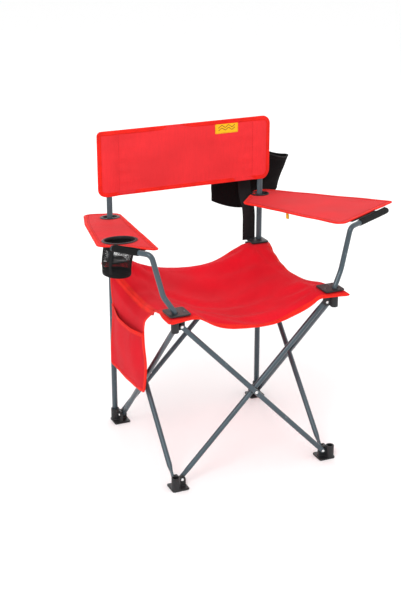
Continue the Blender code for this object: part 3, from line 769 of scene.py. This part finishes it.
def make_posts():
    """Rear posts: thin tubes with a rolled top edge and a plastic plug."""
    wall = 0.0012
    inner = POST_R - wall
    for side, body in (("left", "frame"), ("right", "foot_rear_right")):
        sign = -1 if side == "left" else 1
        lift = Matrix.Translation((sign * SOCKET, SOCKET, 0))
        profile = [(inner, POST_LOW), (POST_R - 0.0003, POST_LOW), (POST_R, POST_LOW + 0.0004),
                   (POST_R, POST_TOP - 0.0006), (POST_R - 0.0005, POST_TOP), (inner, POST_TOP - 0.0002)]
        shape = Shape()
        shape.turned(profile, 40, lift)
        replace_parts(shape.make("tube_post_" + side, STEEL, body, "frame_steel"), "post_" + side)
        cap = Shape()
        profile = [(0.0, POST_TOP + 0.002), (0.004, POST_TOP + 0.0017), (0.007, POST_TOP + 0.001),
                   (0.0082, POST_TOP + 0.0003), (0.0082, POST_TOP + 0.0001),
                   (inner - 0.0001, POST_TOP + 0.0001), (inner - 0.0001, POST_TOP - 0.01),
                   (0.0, POST_TOP - 0.01)]
        cap.turned(profile, 32, lift, closed=False)
        cap.make("post_plug_" + side, PLASTIC, body, "black_plastic")


def bent(corners):
    """A route through (point, bend radius) corners, with each bend as an arc."""
    route = [Vector(corners[0][0])]
    for (a, _), (b, radius), (c, _) in zip(corners, corners[1:], corners[2:]):
        centre, first, last = corner_arc(Vector(a), Vector(b), Vector(c), radius)
        axis, sweep = first.cross(last).normalized(), first.angle(last)
        route += [centre + Matrix.Rotation(sweep * n / 14, 3, axis) @ first for n in range(15)]
    return route + [Vector(corners[-1][0])]


def make_flap(side, start, end, body):
    """Webbing from the top of the bar back to the underside of its board, where it is sewn."""
    board = ARMREST if side == "left" else TABLE
    length, deep = float(np.linalg.norm(end - start)), 0.046
    run = (end - start) / length
    back = np.array((-run[1], run[0], 0)) * (-1 if side == "left" else 1)

    def place(u, v, h):
        at = start + np.outer(u, run) + np.outer(v, back)
        under = board["ring_z"] + board["slope"] * (SOCKET - at[:, 1]) - BOARD_THICK - 0.0022
        over = BAR_Z + ARM_R + 0.0026 + 0.0004 * np.sin(u * 90)
        at[:, 2] = over + (under - over) * smooth(v, 0.002, 0.026) + h
        return at

    corners = [(0, 0, 0.001), (length, 0, 0.001), (length, deep, 0.002), (0, deep, 0.002)]
    outline = rounded(corners, 0.003)
    # The flap is the near-black webbing: painted shadow in the gap between the bar and the board.
    flap = cloth("board_loop_" + side, outline, place, SHADOW_DARK_WEBBING, body, "webbing", pitch=0.005)


def make_arm_tubes():
    """Arm tubes with a plugged bar end, and the webbing loop that each board hangs on."""
    # Each side's sign, lower and upper bend in x, bar tip, and the stretch of bar in the sleeve
    sides = (("left", -1, 0.27, 0.302, (-0.3755, -0.135), (0.22, 0.97)),
             ("right", 1, 0.267, 0.294, (0.4675, -0.1325), (0.18, 0.98)))
    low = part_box("arm_tube_left")[0].z
    for side, sign, lower, upper, end, (first, last) in sides:
        tip = Vector((*end, BAR_Z))
        route = bent([((sign * FRONT_SOCKET, -FRONT_SOCKET, low), 0),
                      ((sign * FRONT_SOCKET, -FRONT_SOCKET, PLATE_TOP + 0.003), 0.02),
                      ((sign * lower, -0.231, PLATE_TOP + 0.046), 0.06),
                      ((sign * upper, -0.229, BAR_Z), 0.018), (tip, 0)])
        body = "hub_front_" + side
        shape = Shape()
        shape.tube(route, ARM_R, 32)
        obj = shape.make("tube_arm_" + side, STEEL, body, "frame_steel")
        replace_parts(obj, "arm_tube_" + side)
        start = route[-2]
        run = (tip - start).normalized()
        turn = Matrix.Translation(tip) @ run.to_track_quat("Z", "Y").to_matrix().to_4x4()
        cap = Shape()
        cap.turned([(0.0, 0.0045), (0.004, 0.0042), (0.0068, 0.003), (0.008, 0.0012), (0.008, 0.0002),
                    (0.0, 0.0002)], 32, turn, closed=False)
        cap.make("bar_cap_" + side, PLASTIC, body, "black_plastic")
        a, b = start.lerp(tip, first), start.lerp(tip, last)
        lift = Matrix.Translation(a) @ run.to_track_quat("Z", "Y").to_matrix().to_4x4()
        length = (b - a).length
        inner, outer = ARM_R + 0.0003, ARM_R + 0.0016
        steps = 24
        profile = [(inner, 0.0), (outer - 0.0003, 0.0)]
        profile += [(outer + 0.00025 * math.sin(n * 2.4), length * n / steps) for n in range(1, steps)]
        profile += [(outer - 0.0003, length), (inner, length)]
        sleeve = Shape()
        sleeve.turned(profile, 32, lift)
        # The sleeve is the same near-black webbing, painted dark as shadow beneath the board.
        obj = sleeve.make("loop_sleeve_" + side, SHADOW_DARK_WEBBING, body, "webbing")
        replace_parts(obj, "bar_sleeve_" + side)
        make_flap(side, np.array(a), np.array(b), body)


# ---------------------------------------------------------------- boards, rings and cup
def on_board(board, wave_seed):
    """place() on an armrest or table: h runs from its middle face, and the face is hardly wavy."""
    def height(x, y):
        top = board["ring_z"] + board["slope"] * (SOCKET - y)
        return top - BOARD_THICK / 2 + 0.0004 * ripple(x, y, 0.09, wave_seed)
    return raised(height)


def lean(board):
    """Carries a ring made about Z onto a sloping board."""
    matrix = Matrix.Identity(4)
    matrix[2][1] = -board["slope"]
    matrix[2][3] = board["ring_z"] + board["slope"] * SOCKET
    return matrix


def make_board(name, outline, board, holes, body, seed):
    """A stiff board in a cloth cover, with bound edges."""
    outline = counterclockwise(rounded(outline))
    place = on_board(board, seed)
    thick = BOARD_THICK - 2 * TAPE_PROUD
    cover = cloth(name + "_cover", outline, place, BOARD_CLOTH, body, "seat_fabric", thick=thick,
                  holes=holes, pitch=0.007)
    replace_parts(cover, name + "_board")
    tape = binding(name + "_tape", outline, place, SEAT_TAPE, body, "seat_fabric", thick=thick)
    edge = sewn(name + "_edge_stitches", [offset(outline, STITCH_IN)], place, body, "seat_fabric",
                top=thick / 2 + TAPE_PROUD)
    seam = sewn(name + "_seam_stitches", [offset(outline, TAPE + 0.0035)], place, body, "seat_fabric",
                top=thick / 2)
    area_of(outline) - sum(area_of(hole) for hole in holes)


def make_ring(name, at, inner, outer, lip, board, body, node):
    """A moulded ring through a board, with a rolled lip on its top."""
    under, top = -BOARD_THICK - 0.001, 0.0003
    profile = [(inner, under), (inner + 0.0006, under - 0.0006), (outer - 0.0002, under - 0.0005),
               (outer, under + 0.0003), (outer, top), (outer + lip - 0.0004, top),
               (outer + lip, top + 0.0005), (outer + lip - 0.0009, top + 0.0013),
               (outer + lip * 0.4, top + 0.002),
               (inner + 0.0012, top + 0.0021), (inner + 0.0003, top + 0.0015), (inner, top + 0.0006)]
    shape = Shape()
    shape.turned(profile, 72, lean(board) @ Matrix.Translation((*at, 0)))
    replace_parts(shape.make(name, PLASTIC, body, "black_plastic", sharp=60), node)


def make_boards():
    left, right = (-SOCKET, SOCKET), (SOCKET, SOCKET)
    hole = 0.0273
    corners = [(-0.296, 0.336, 0.026), (-0.338, 0.2, 0.12), (-0.399, -0.082, 0.026),
               (-0.352, -0.112, 0.06), (-0.2715, -0.214, 0.009), (-0.199, 0.29, 0.034)]
    holes = [circle(left, hole), circle(CUP_AT, CUP_R + 0.0033)]
    make_board("armrest", corners, ARMREST, holes, "armrest", 11)
    corners = [(0.272, 0.323, 0.035), (0.15, 0.163, 0.03), (0.274, -0.214, 0.022), (0.545, -0.046, 0.012)]
    holes = [circle(right, hole)]
    make_board("table", corners, TABLE, holes, "side_table", 12)
    for side, board, body in (("left", ARMREST, "armrest"), ("right", TABLE, "side_table")):
        at = left if side == "left" else right
        make_ring("grommet_ring_" + side, at, 0.0215, 0.027, 0.003, board, body, "grommet_" + side)
    make_ring("cup_lip", CUP_AT, CUP_R, CUP_R + 0.003, 0.005, ARMREST, "armrest", "cup_ring")


def cup_point(turn, drop, radius):
    """A point on the cup wall. The top leans with the armrest and the bottom hangs level."""
    share = smooth(drop, 0.0, CUP_DEPTH * 0.7)
    x, y = CUP_AT[0] + radius * np.cos(turn), CUP_AT[1] + radius * np.sin(turn)
    top = ARMREST["ring_z"] + ARMREST["slope"] * (SOCKET - CUP_AT[1])
    z = top - drop - (1 - share) * ARMREST["slope"] * (y - CUP_AT[1])
    return np.stack([x - 0.01 * share + 0 * z, y + 0 * z, z - 0.07 * share * (x - CUP_AT[0])], -1)


def cup_radius(drop, turn=0.0):
    wall = 0.0448 - 0.0068 * drop / CUP_DEPTH
    return wall + 0.0012 * np.sin(3 * turn + 0.6) * smooth(drop, 0.03, 0.09)


def make_cup():
    """A net cup: real crossed yarns between a top and a bottom band, a cloth base and one strap."""
    drop_top, drop_low = BOARD_THICK + 0.002, CUP_DEPTH - 0.004
    yarns, steps = 60, 20
    net = Shape()
    for way in (-1, 1):
        for n in range(yarns):
            t = np.linspace(0, 1, steps)
            drop = drop_top + 0.009 + (drop_low - 0.012 - drop_top - 0.009) * t
            turn = 2 * np.pi * n / yarns + way * (1.15 * t + 0.05 * np.sin(t * 20))
            net.tube(cup_point(turn, drop, cup_radius(drop, turn)), 0.00058, 5)
    net = net.make("cup_netting", NET, "armrest", "cup_net", sharp=0)
    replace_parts(net, "cup_mesh")
    turns = full_turn(72)
    parts = Shape()
    for low, high, swell in ((drop_top, drop_top + 0.013, 0.0006), (drop_low - 0.011, drop_low, 0.0009)):
        levels = [(low, 0.0), (low, swell), ((low + high) / 2, swell * 1.5), (high, swell), (high, 0.0),
                  ((low + high) / 2, -0.0002)]
        parts.rings([cup_point(turns, drop, cup_radius(drop, turns) + out) for drop, out in levels], True)
    wall = cup_radius(drop_low, turns)
    base = [cup_point(turns, drop_low - 0.001 + 0.0035 * (1 - share ** 2), wall * share)
            for share in (1.0, 0.9, 0.7, 0.45, 0.2, 0.02)]
    under = [ring - np.array((0, 0, 0.0012)) for ring in reversed(base)]
    parts.rings(base + under, True)
    bands = parts.make("cup_bands", SHADOW_DARK_WEBBING, "armrest", "cup_net")
    strap = Shape()
    at, wide = 3.9, 0.1
    edge = [(at - wide, 0.0004), (at, 0.0006), (at + wide, 0.0004), (at + wide, 0.0018), (at, 0.0021),
            (at - wide, 0.0018)]
    rings = []
    for drop in np.linspace(drop_top + 0.01, drop_low - 0.01, 16):
        radius = cup_radius(drop, at)
        rings.append(np.array([cup_point(np.array(a), drop, radius + out) for a, out in edge]))
    strap.rings(rings)
    strap = strap.make("cup_strap", BELT, "armrest", "cup_net")
    rim = np.array(cup_point(np.array(0.0), np.array(drop_top), 0.0))
    for piece in (net, bands, strap):
        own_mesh(piece)


def make_tab():
    """A small yellow pull tab sewn under the table's inner edge."""
    at = Vector((0.217, 0.004, TABLE["ring_z"] + TABLE["slope"] * (SOCKET - 0.04) - BOARD_THICK))
    shape = Shape()
    loop = [(0.0, 0.0), (0.0016, -0.008), (0.0024, -0.015), (0.001, -0.019), (-0.0006, -0.015),
            (-0.0008, -0.008), (-0.0004, 0.0)]
    run = Vector((0.29, -0.96, 0)).normalized() * 0.005
    side = Vector((0.96, 0.29, 0))
    route = curved([side * a + Vector((0, 0, b)) for a, b in loop], 0.0012)
    rings = [[tuple(at + Vector(p) + run), tuple(at + Vector(p) - run),
              tuple(at + Vector(p) * 0.93 - run), tuple(at + Vector(p) * 0.93 + run)] for p in route]
    shape.rings(rings)
    shape.make("table_tab", TAB_YELLOW, "side_table", "seat_fabric")


# ---------------------------------------------------------------- seat
def seat_front(x):
    return -0.262 - 0.018 * (np.abs(x) / 0.27) ** 4


def seat_back(x):
    return 0.24 + 0.02 * (np.abs(x) / 0.27) ** 4


def seat_side(y, x=1.0):
    """How far out a side edge runs. It is drawn in between its corners, less beside the pocket."""
    middle_out = np.where(np.asarray(x) < 0, 0.248, 0.235)
    return middle_out + (0.27 - middle_out) * np.minimum((y / 0.215) ** 2, 1.1)


def seat_height(x, y):
    """A sling between four clamped corners, with every edge sagging and folds from the corners."""
    across, deep = np.minimum(np.abs(x) / 0.2, 1), np.minimum(np.abs(y) / 0.2, 1)
    between_ends = 0.054 - 0.006 * np.clip(y / 0.24, -1, 1)
    between_sides = 0.03 - 0.009 * np.clip(x / 0.24, -1, 1)
    sling = SEAT_Z - between_ends * (1 - across ** 2) ** 1.35 - between_sides * (1 - deep ** 2) ** 1.2
    folds = 0 * x
    for n, (corner_x, corner_y) in enumerate(((-1, -1), (1, -1), (1, 1), (-1, 1))):
        dx, dy = x - corner_x * 0.222, y - corner_y * 0.222
        reach = np.hypot(dx, dy)
        turn = np.arctan2(dy * -corner_y, dx * -corner_x)
        rays = np.cos(9 * turn + 1.3 * n + 4 * reach)
        folds = folds + 0.005 * rays * np.exp(-reach / 0.17) * smooth(reach, 0.03, 0.1)
    drift = 0.014 * ripple(x, y, 0.3, 3)
    wide = np.sin(2 * np.pi * (y + 0.34 * x + drift) / 0.098)
    folds = folds + 0.0028 * wide * np.exp(-(across * 1.1) ** 4)
    fine = np.sin(2 * np.pi * (0.7 * y - 0.6 * x + drift) / 0.06)
    folds = folds + 0.0005 * fine * np.exp(-(deep * 1.2) ** 4)
    folds = folds + 0.00015 * ripple(x, y, 0.045, 5)
    clamp = smooth(np.abs(x), 0.165, 0.205) * smooth(np.abs(y), 0.165, 0.205)
    rim = np.minimum(np.minimum(y - seat_front(x), seat_back(x) - y), seat_side(y, x) - np.abs(x))
    droop = 0.008 * np.clip(1 - rim / 0.024, 0, 1.2) ** 2
    return clamp * SEAT_Z + (1 - clamp) * (sling + folds) - droop


def seat_outline():
    x = np.linspace(-0.274, 0.274, 120)
    y = np.linspace(seat_front(0.275), seat_back(0.275), 120)
    front = np.stack([x, seat_front(x)], 1)
    right = np.stack([seat_side(y, 1.0), y], 1)
    back = np.stack([x, seat_back(x)], 1)[::-1]
    left = np.stack([-seat_side(y, -1.0), y], 1)[::-1]
    return softened(np.vstack([front, right, back, left]), 0.021, 0.003)


def half_path(loop, sign):
    """The part of a loop on one side of the middle, as an open path that starts and ends on it."""
    start = next(i for i in range(len(loop)) if loop[i - 1][0] * sign <= 0 < loop[i][0] * sign)
    loop = np.roll(loop, -start, 0)
    count = next(i for i in range(len(loop)) if loop[i][0] * sign <= 0)
    found = [loop[-1]] + list(loop[:count + 1])
    for at, other in ((0, 1), (-1, -2)):
        share = found[at][0] / (found[at][0] - found[other][0])
        found[at] = found[at] + (found[other] - found[at]) * share
        found[at][0] = 0.0
    return np.array(found)


def in_corner(point):
    """Above zero in the square of cloth that a seat plate clamps to its hub."""
    return min(abs(point[0]), abs(point[1])) - CLAMP_AT


def runs(path, keep):
    """The stretches of an open path where keep(point) is above zero, ending exactly at zero."""
    found, current = [], []
    for i, point in enumerate(path):
        inside = keep(point) > 0
        if i and inside != (keep(path[i - 1]) > 0):
            low, high = (path[i - 1], point) if inside else (point, path[i - 1])
            for _ in range(30):
                centre = (low + high) / 2
                low, high = (low, centre) if keep(centre) > 0 else (centre, high)
            if inside:
                current = [high]
            else:
                found.append(np.array(current + [high]))
                current = []
        if inside:
            current.append(point)
    return found + ([np.array(current)] if current else [])


def around_corner(start, end):
    """The two cut edges between a clamped corner and the rest of the seat."""
    corner = np.array((math.copysign(CLAMP_AT, start[0]), math.copysign(CLAMP_AT, start[1])))
    return np.vstack([spaced([start, corner], 0.004)[1:], spaced([corner, end], 0.004)[1:-1]])


def seat_piece(tag, body, loop, edges, place, holes=(), node=None):
    """A piece of the seat with tape and stitches along its outer edges only."""
    panel = cloth("seat_cloth_" + tag, loop, place, SEAT_CLOTH, body, "seat_fabric", holes=holes,
                  pitch=0.0052)
    if node:
        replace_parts(panel, node)
    pieces = []
    for n, edge in enumerate(edges):
        pieces.append(binding(f"seat_tape_{tag}_{n}", edge, place, SEAT_TAPE, body, "seat_fabric", False))
        rows = [offset(edge, STITCH_IN, False), offset(edge, 0.003, False)]
        pieces.append(sewn(f"seat_stitches_{tag}_{n}", rows, place, body, "seat_fabric", False))
    area_of(loop)
    return [panel, *pieces]


def seat_squash(piece, side):
    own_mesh(piece)


def make_seat():
    """The seat in two halves that fold downward, and four corners that stay clamped to the hubs."""
    outline = counterclockwise(seat_outline())
    place = raised(seat_height)
    for side, sign in (("left", -1), ("right", 1)):
        path = half_path(outline, sign)
        edges = runs(path, lambda point: -in_corner(point))
        seam = spaced([path[-1], path[0]], 0.005)[1:-1]
        loop = np.vstack([edges[0], around_corner(edges[0][-1], edges[1][0]), edges[1],
                          around_corner(edges[1][-1], edges[2][0]), edges[2], seam])
        for piece in seat_piece(side, "seat_" + side, loop, edges, place, node=f"seat_{side}_half"):
            seat_squash(piece, side)
        for corner in runs(path, in_corner):
            at_front = corner[0][1] < 0
            hole = (sign * FRONT_SOCKET, -FRONT_SOCKET) if at_front else (sign * SOCKET, SOCKET)
            tag = ("front_" if at_front else "rear_") + side
            loop = np.vstack([corner, around_corner(corner[-1], corner[0])])
            seat_piece(tag, "hub_" + tag, loop, [corner], place, [circle(hole, 0.0098, 24)])
    # The left half's edge runs on under the right half, so the seat stays whole as it folds
    front, back = float(seat_front(0.0)) + 0.012, float(seat_back(0.0)) - 0.012
    lap = [(-0.004, front), (0.024, front), (0.024, back), (-0.004, back)]
    under = raised(lambda x, y: seat_height(x, y) - 0.0022)
    strip = cloth("seat_underlap", spaced(lap, 0.004, True), under, SEAT_CLOTH, "seat_left",
                  "seat_fabric", pitch=0.006)
    seat_squash(strip, "left")


# ---------------------------------------------------------------- backrest
PANEL_LOW, PANEL_HIGH = 0.7265, 0.919
PANEL_LEFT, PANEL_RIGHT = -0.28, 0.272
PANEL_Y, PANEL_GAP = 0.2392, 0.0008  # where the two cloths meet, and how far each stays from there
FRONT_BULGE, BACK_BULGE = 0.004, 0.016  # how far each cloth stands off beside a post


def panel_bulge(x, z):
    """How far the cloth stands off its middle plane: it runs over a post inside each sleeve."""
    near = np.minimum(np.abs(x - SOCKET), np.abs(x + SOCKET))
    outside = (np.abs(x) > SOCKET) * 1.0
    width = 0.0225 - 0.0045 * outside
    over = np.exp(-(near / width) ** 4)
    return over * smooth(PANEL_HIGH - z, -0.002, 0.01)


def panel_face(side):
    """place() for the front or the back cloth of the band; h is toward the face's own outside."""
    def place(x, z, h):
        bulge = panel_bulge(x, z)
        wave = 0.0009 * ripple(x, z * 2.2, 0.16, 21) * smooth(SOCKET - np.abs(x), 0.0, 0.06)
        drag = 0.0007 * np.cos(2 * np.pi * z / 0.034 + 3 * x) * np.exp(-np.abs(np.abs(x) - 0.2) / 0.035)
        if side < 0:
            y = PANEL_Y - PANEL_GAP - FRONT_BULGE * bulge + wave + drag - h
        else:
            y = PANEL_Y + PANEL_GAP + BACK_BULGE * bulge + wave + h
        return np.stack([x, y, z], 1)
    return place


def panel_edge(x, z, h):
    """place() for the tape that closes both cloths together; h runs out from their shared middle."""
    bulge = panel_bulge(x, z)
    y = PANEL_Y - np.sign(h) * PANEL_GAP + np.where(h > 0, -FRONT_BULGE, BACK_BULGE) * bulge - h
    return np.stack([x, y, z], 1)


def make_panel():
    """The backrest band: two cloths that are sewn together round both posts."""
    corners = [(PANEL_LEFT, PANEL_LOW, 0.022), (PANEL_RIGHT, PANEL_LOW, 0.026),
               (PANEL_RIGHT, PANEL_HIGH, 0.024), (PANEL_LEFT, PANEL_HIGH, 0.012)]
    outline = counterclockwise(rounded(corners, 0.0035))
    slot = "back_fabric"
    faces = [cloth(f"panel_{name}_cloth", outline, panel_face(side), PANEL_CLOTH, "frame", slot,
                   pitch=0.0065) for name, side in (("front", -1), ("back", 1))]
    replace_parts(faces[0], "back_panel")
    tape = binding("panel_tape", outline, panel_edge, CROSS_TAPE, "frame", slot, width=0.0115)
    rows = [offset(outline, 0.0095), offset(outline, 0.004)]
    edge = sewn("panel_edge_stitches", rows, panel_edge, "frame", slot)
    sleeves = [[(x, PANEL_LOW + 0.014), (x, PANEL_HIGH - 0.014)] for x in (-0.215, 0.215)]
    seams = stitches("panel_sleeve_stitches", sleeves, panel_face(-1), THREAD, "frame", slot,
                     (CLOTH / 2,), False)
    label = make_label()
    trims = [tape, edge, seams, *label]
    area_of(outline)
    area_of(outline)
    for piece in (*faces, *trims):
        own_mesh(piece)


def lifted(x, z, h):
    """place() on the outside of the front cloth."""
    return panel_face(-1)(x, z, h + CLOTH / 2 + 0.0005)


def make_label():
    """A woven yellow patch with a stitched border and a plain zigzag, and no lettering."""
    low, high = (0.091, 0.879), (0.166, 0.914)
    outline = counterclockwise(rounded([(*low, 0.003), (high[0], low[1], 0.003), (*high, 0.003),
                                        (low[0], high[1], 0.003)], 0.0015))
    patch = cloth("label_patch", outline, lifted, LABEL_YELLOW, "frame", "back_fabric", thick=0.0008,
                  pitch=0.004)
    border = stitches("label_border", [offset(outline, 0.0018)], lifted, DARK_THREAD, "frame",
                      "back_fabric", (0.0005,), step=0.0026, yarn=0.0003)
    motif = Shape()
    x = np.linspace(low[0] + 0.01, high[0] - 0.01, 60)
    swing = np.abs(((x - low[0]) / 0.011) % 2 - 1)
    for z in (low[1] + 0.009, low[1] + 0.017):
        motif.tube(lifted(x, z + 0.008 * swing, 0 * x + 0.0005), 0.0008, 8)
    motif = motif.make("label_zigzag", DARK_THREAD, "frame", "back_fabric", sharp=0)
    return [patch, border, motif]


# ---------------------------------------------------------------- side pocket
def pocket_top(y):
    """The height at which the pocket is sewn to the seat's edge."""
    return seat_height(-seat_side(y, -1.0) + 0.004, y) - 0.0024


def pocket_depth(y, z):
    """How far out the pocket's back cloth hangs: from the seat's edge, out over the legs, and down."""
    drape = 0.0016 * ripple(y, z, 0.16, 31) * smooth(0.5 - z, 0.0, 0.12)
    hem, over_legs = seat_side(y, -1.0) - 0.001, 0.2672
    return hem + (over_legs - hem) * smooth(pocket_top(y) - z, -0.002, 0.034) + drape


def pocket_back(y, z, h):
    return np.stack([-pocket_depth(y, z) - h, y, z], 1)


def pocket_gape(y, z):
    """How far the front cloth stands off the back cloth: pinned at its sides, open at its mouth."""
    sideways = smooth(y, -0.1, 0.01) * smooth(-y, -0.19, -0.07)
    upward = smooth(z, 0.222, 0.33)
    return 0.0022 + 0.0125 * sideways * upward


def pocket_front(y, z, h):
    return np.stack([-pocket_depth(y, z) - pocket_gape(y, z) - h, y, z], 1)


def pocket_edge(y, z, h):
    """place() for the tape round both cloths."""
    stand = np.where(h > 0, pocket_gape(y, z) * (z < 0.415), 0.0)
    return np.stack([-pocket_depth(y, z) - stand - h, y, z], 1)


def make_pocket():
    """A flat pocket of two cloths, hung from the seat's left edge."""
    body, slot = "hub_rear_left", "seat_fabric"
    front_side = [(-0.126, float(pocket_top(-0.126))), (-0.096, 0.47), (-0.076, 0.43), (-0.08, 0.385),
                  (-0.09, 0.33), (-0.08, 0.27), (-0.07, 0.231)]
    bottom = [(0.0, 0.2225), (0.07, 0.217), (0.14, 0.2165), (0.194, 0.2185)]
    rear_side = [(0.191, 0.27), (0.187, 0.34), (0.184, 0.41), (0.188, 0.46),
                 (0.192, float(pocket_top(0.192)))]
    top_y = np.linspace(0.184, -0.122, 30)
    top = np.stack([top_y, pocket_top(top_y)], 1)
    loop = [*spaced(curved(front_side, 0.006), 0.004), *spaced(bottom, 0.004)[1:],
            *curved(rear_side, 0.004)[1:], *spaced(top, 0.004)[1:]]
    outline = counterclockwise(softened(loop, 0.01, 0.0035))
    back = cloth("pocket_back_cloth", outline, pocket_back, POCKET_CLOTH, body, slot, pitch=0.006)
    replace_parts(back, "side_pocket")
    mouth = curved([(-0.08, 0.414), (-0.02, 0.407), (0.083, 0.4035), (0.186, 0.411)], 0.004)
    below = outline[outline[:, 1] < np.interp(outline[:, 0], mouth[:, 0], mouth[:, 1])]
    start = next(i for i in range(len(below)) if np.linalg.norm(below[i] - below[i - 1]) > 0.02)
    below = np.roll(below, -start, 0)
    if np.linalg.norm(below[-1] - mouth[0]) > np.linalg.norm(below[0] - mouth[0]):
        mouth = mouth[::-1]
    front = np.vstack([below, mouth[1:-1]])
    pouch = cloth("pocket_front_cloth", front, pocket_front, POCKET_CLOTH, body, slot, pitch=0.006)
    rim = counterclockwise(front)
    at = [i for i in range(len(rim)) if np.linalg.norm(mouth - rim[i], axis=1).min() < 1e-6]
    first = next(i for i in at if (i - 1) % len(rim) not in at)
    lip = np.roll(rim, -first, 0)[:len(at)]
    tape = binding("pocket_tape", outline, pocket_edge, POCKET_TAPE, body, slot, width=0.009)
    hem = binding("pocket_mouth_tape", lip, pocket_front, POCKET_TAPE, body, slot, False, 0.011)
    seam = sewn("pocket_edge_stitches", [offset(outline, 0.0072)], pocket_edge, body, slot)
    rows = [offset(lip, 0.009, False), offset(lip, 0.003, False)]
    line = sewn("pocket_mouth_stitches", rows, pocket_front, body, slot, False)
    area_of(outline)
    area_of(front)
    for piece in (back, pouch, tape, hem, seam, line):
        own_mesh(piece)


# ---------------------------------------------------------------- bag and its straps
BAG_X, BAG_Y = 0.259, 0.3445


def bag_point(turn, level):
    """A point on the bag. Level 0 is the middle of its base, 0.3 the base's edge and 1 the rim."""
    share = np.clip(level / 0.3, 0, 1)
    up = np.clip((level - 0.3) / 0.7, 0, 1)
    half_x = 0.113 + 0.018 * up
    half_y = 0.025 + 0.0115 * up + 0.006 * np.sin(np.pi * up) ** 2
    c, s = np.cos(turn), np.sin(turn)
    x = BAG_X - 0.017 + 0.018 * up + half_x * share * np.sign(c) * np.abs(c) ** 0.72
    y = BAG_Y + half_y * share * np.sign(s) * np.abs(s) ** 1.1
    low = 0.6145 + 0.036 * (np.abs(x - 0.222) / 0.115) ** 1.6 + 0.003 * (1 - share)
    high = 0.785 - 0.028 * smooth(x, 0.285, 0.385) + 0.003 * np.cos(2 * turn)
    z = low + (high - low) * up ** 0.9
    crumple = (0.0022 * ripple(3 * x, 2 * z + y, 0.3, 41) + 0.0012 * ripple(x + y, z, 0.055, 42))
    crumple = crumple * np.sin(np.pi * np.clip(up, 0, 1)) ** 0.6
    return np.stack([x + crumple * c * 0.6, y + crumple * np.sign(s), z + 0 * turn], -1)


def bag_ring(turns, level):
    return bag_point(turns, np.full(len(turns), level))


def outward(points):
    """Level unit directions from the bag's middle."""
    out = points - np.array((BAG_X, BAG_Y, 0.0))
    out[:, 2] = 0.0
    return unit(out)


def make_bag():
    """An open bag behind the right post, with piping and two rows of stitches."""
    body, slot = "foot_rear_right", "bag_fabric"
    turns = full_turn(120)
    levels = np.concatenate([np.linspace(0.01, 0.3, 9), np.linspace(0.33, 1.0, 26)])
    rings = [bag_ring(turns, level) for level in levels]
    shell = Shape()
    shell.rings(rings, caps=False)
    shell.faces.append(tuple(range(len(turns))))
    obj = shell.make("bag_shell", BAG_CLOTH, body, slot, sharp=0)
    wall = obj.modifiers.new("wall", "SOLIDIFY")
    wall.thickness = 0.0014
    wall.offset = 0.0
    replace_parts(obj, "hanging_bag")
    piping = Shape()
    piping.tube(rings[-1], 0.0023, 10, closed=True)
    for corner in (0.0, np.pi):
        edge = bag_point(np.full(30, corner), np.linspace(0.31, 0.995, 30))
        piping.tube(edge + outward(edge) * 0.0006, 0.0015, 8)
    piping.tube(bag_ring(turns, 0.3), 0.0016, 8, closed=True)
    piping = piping.make("bag_piping", BAG_PIPING, body, slot, sharp=0)
    thread = Shape()
    for level in (0.955, 0.925):
        for four in fours(spaced(bag_ring(turns, level), 0.0012, True)):
            thread.tube(four + outward(four) * 0.0009, 0.00042 * np.array([0.6, 1, 1, 0.6]), 6)
    thread = thread.make("bag_stitches", DARK_THREAD, body, slot, sharp=0)


def strip(route, across, width, thick):
    """Rings for a flat strap whose route lies in the plane square to across."""
    route = np.asarray(route, float)
    across = np.asarray(across, float)
    up = np.cross(across, unit(np.gradient(route, axis=0)))
    edge = [(-1, 0.55), (-0.96, 1), (0, 1.08), (0.96, 1), (1, 0.55), (1, -0.55), (0.96, -1), (0, -1.08),
            (-0.96, -1), (-1, -0.55)]
    return [place + np.array([across * width / 2 * a + rise * thick / 2 * b for a, b in edge])
            for place, rise in zip(route, up)]


def make_straps():
    """The bag's strap down to the seat plate, with a sewn box, and its two tabs at the top."""
    body, slot = "foot_rear_right", "webbing"
    side_view = [(0.2638, 0.5245), (0.2642, 0.57), (0.2645, 0.602), (0.2715, 0.632), (0.2885, 0.656),
                 (0.3, 0.69), (0.301, 0.745)]
    route = curved([(0.219, y, z) for y, z in side_view], 0.004)
    shape = Shape()
    shape.rings(strip(route, (1, 0, 0), 0.042, 0.0019))
    strap = shape.make("strap_webbing", BELT, body, slot)
    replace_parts(strap, "bag_strap")
    box = Shape()
    a, b, c, d = (0.2025, 0.706), (0.2355, 0.706), (0.2355, 0.74), (0.2025, 0.74)
    for line in ([a, b, c, d, a], [a, c], [b, d]):
        for four in fours(spaced(line, 0.0011)):
            box.tube(np.stack([four[:, 0], np.full(4, 0.2994 - 0.0002), four[:, 1]], 1), 0.00045, 6)
    box = box.make("strap_box_stitch", DARK_THREAD, body, slot, sharp=0)
    tabs = Shape()
    for x in (0.228, 0.262):
        tab = curved([(x, 0.258, 0.76), (x, 0.268, 0.7555), (x, 0.288, 0.756), (x, 0.3, 0.762),
                      (x, 0.304, 0.77)], 0.003)
        tabs.rings(strip(tab, (1, 0, 0), 0.016, 0.0016))
    tabs.make("bag_tabs", BELT, body, slot)


add_camera()
add_studio()
make_legs()
make_rivets()
make_washers()
make_castings()
make_screws()
make_posts()
make_arm_tubes()
make_boards()
make_cup()
make_tab()
make_seat()
make_panel()
make_pocket()
make_bag()
make_straps()

bpy.context.view_layer.update()
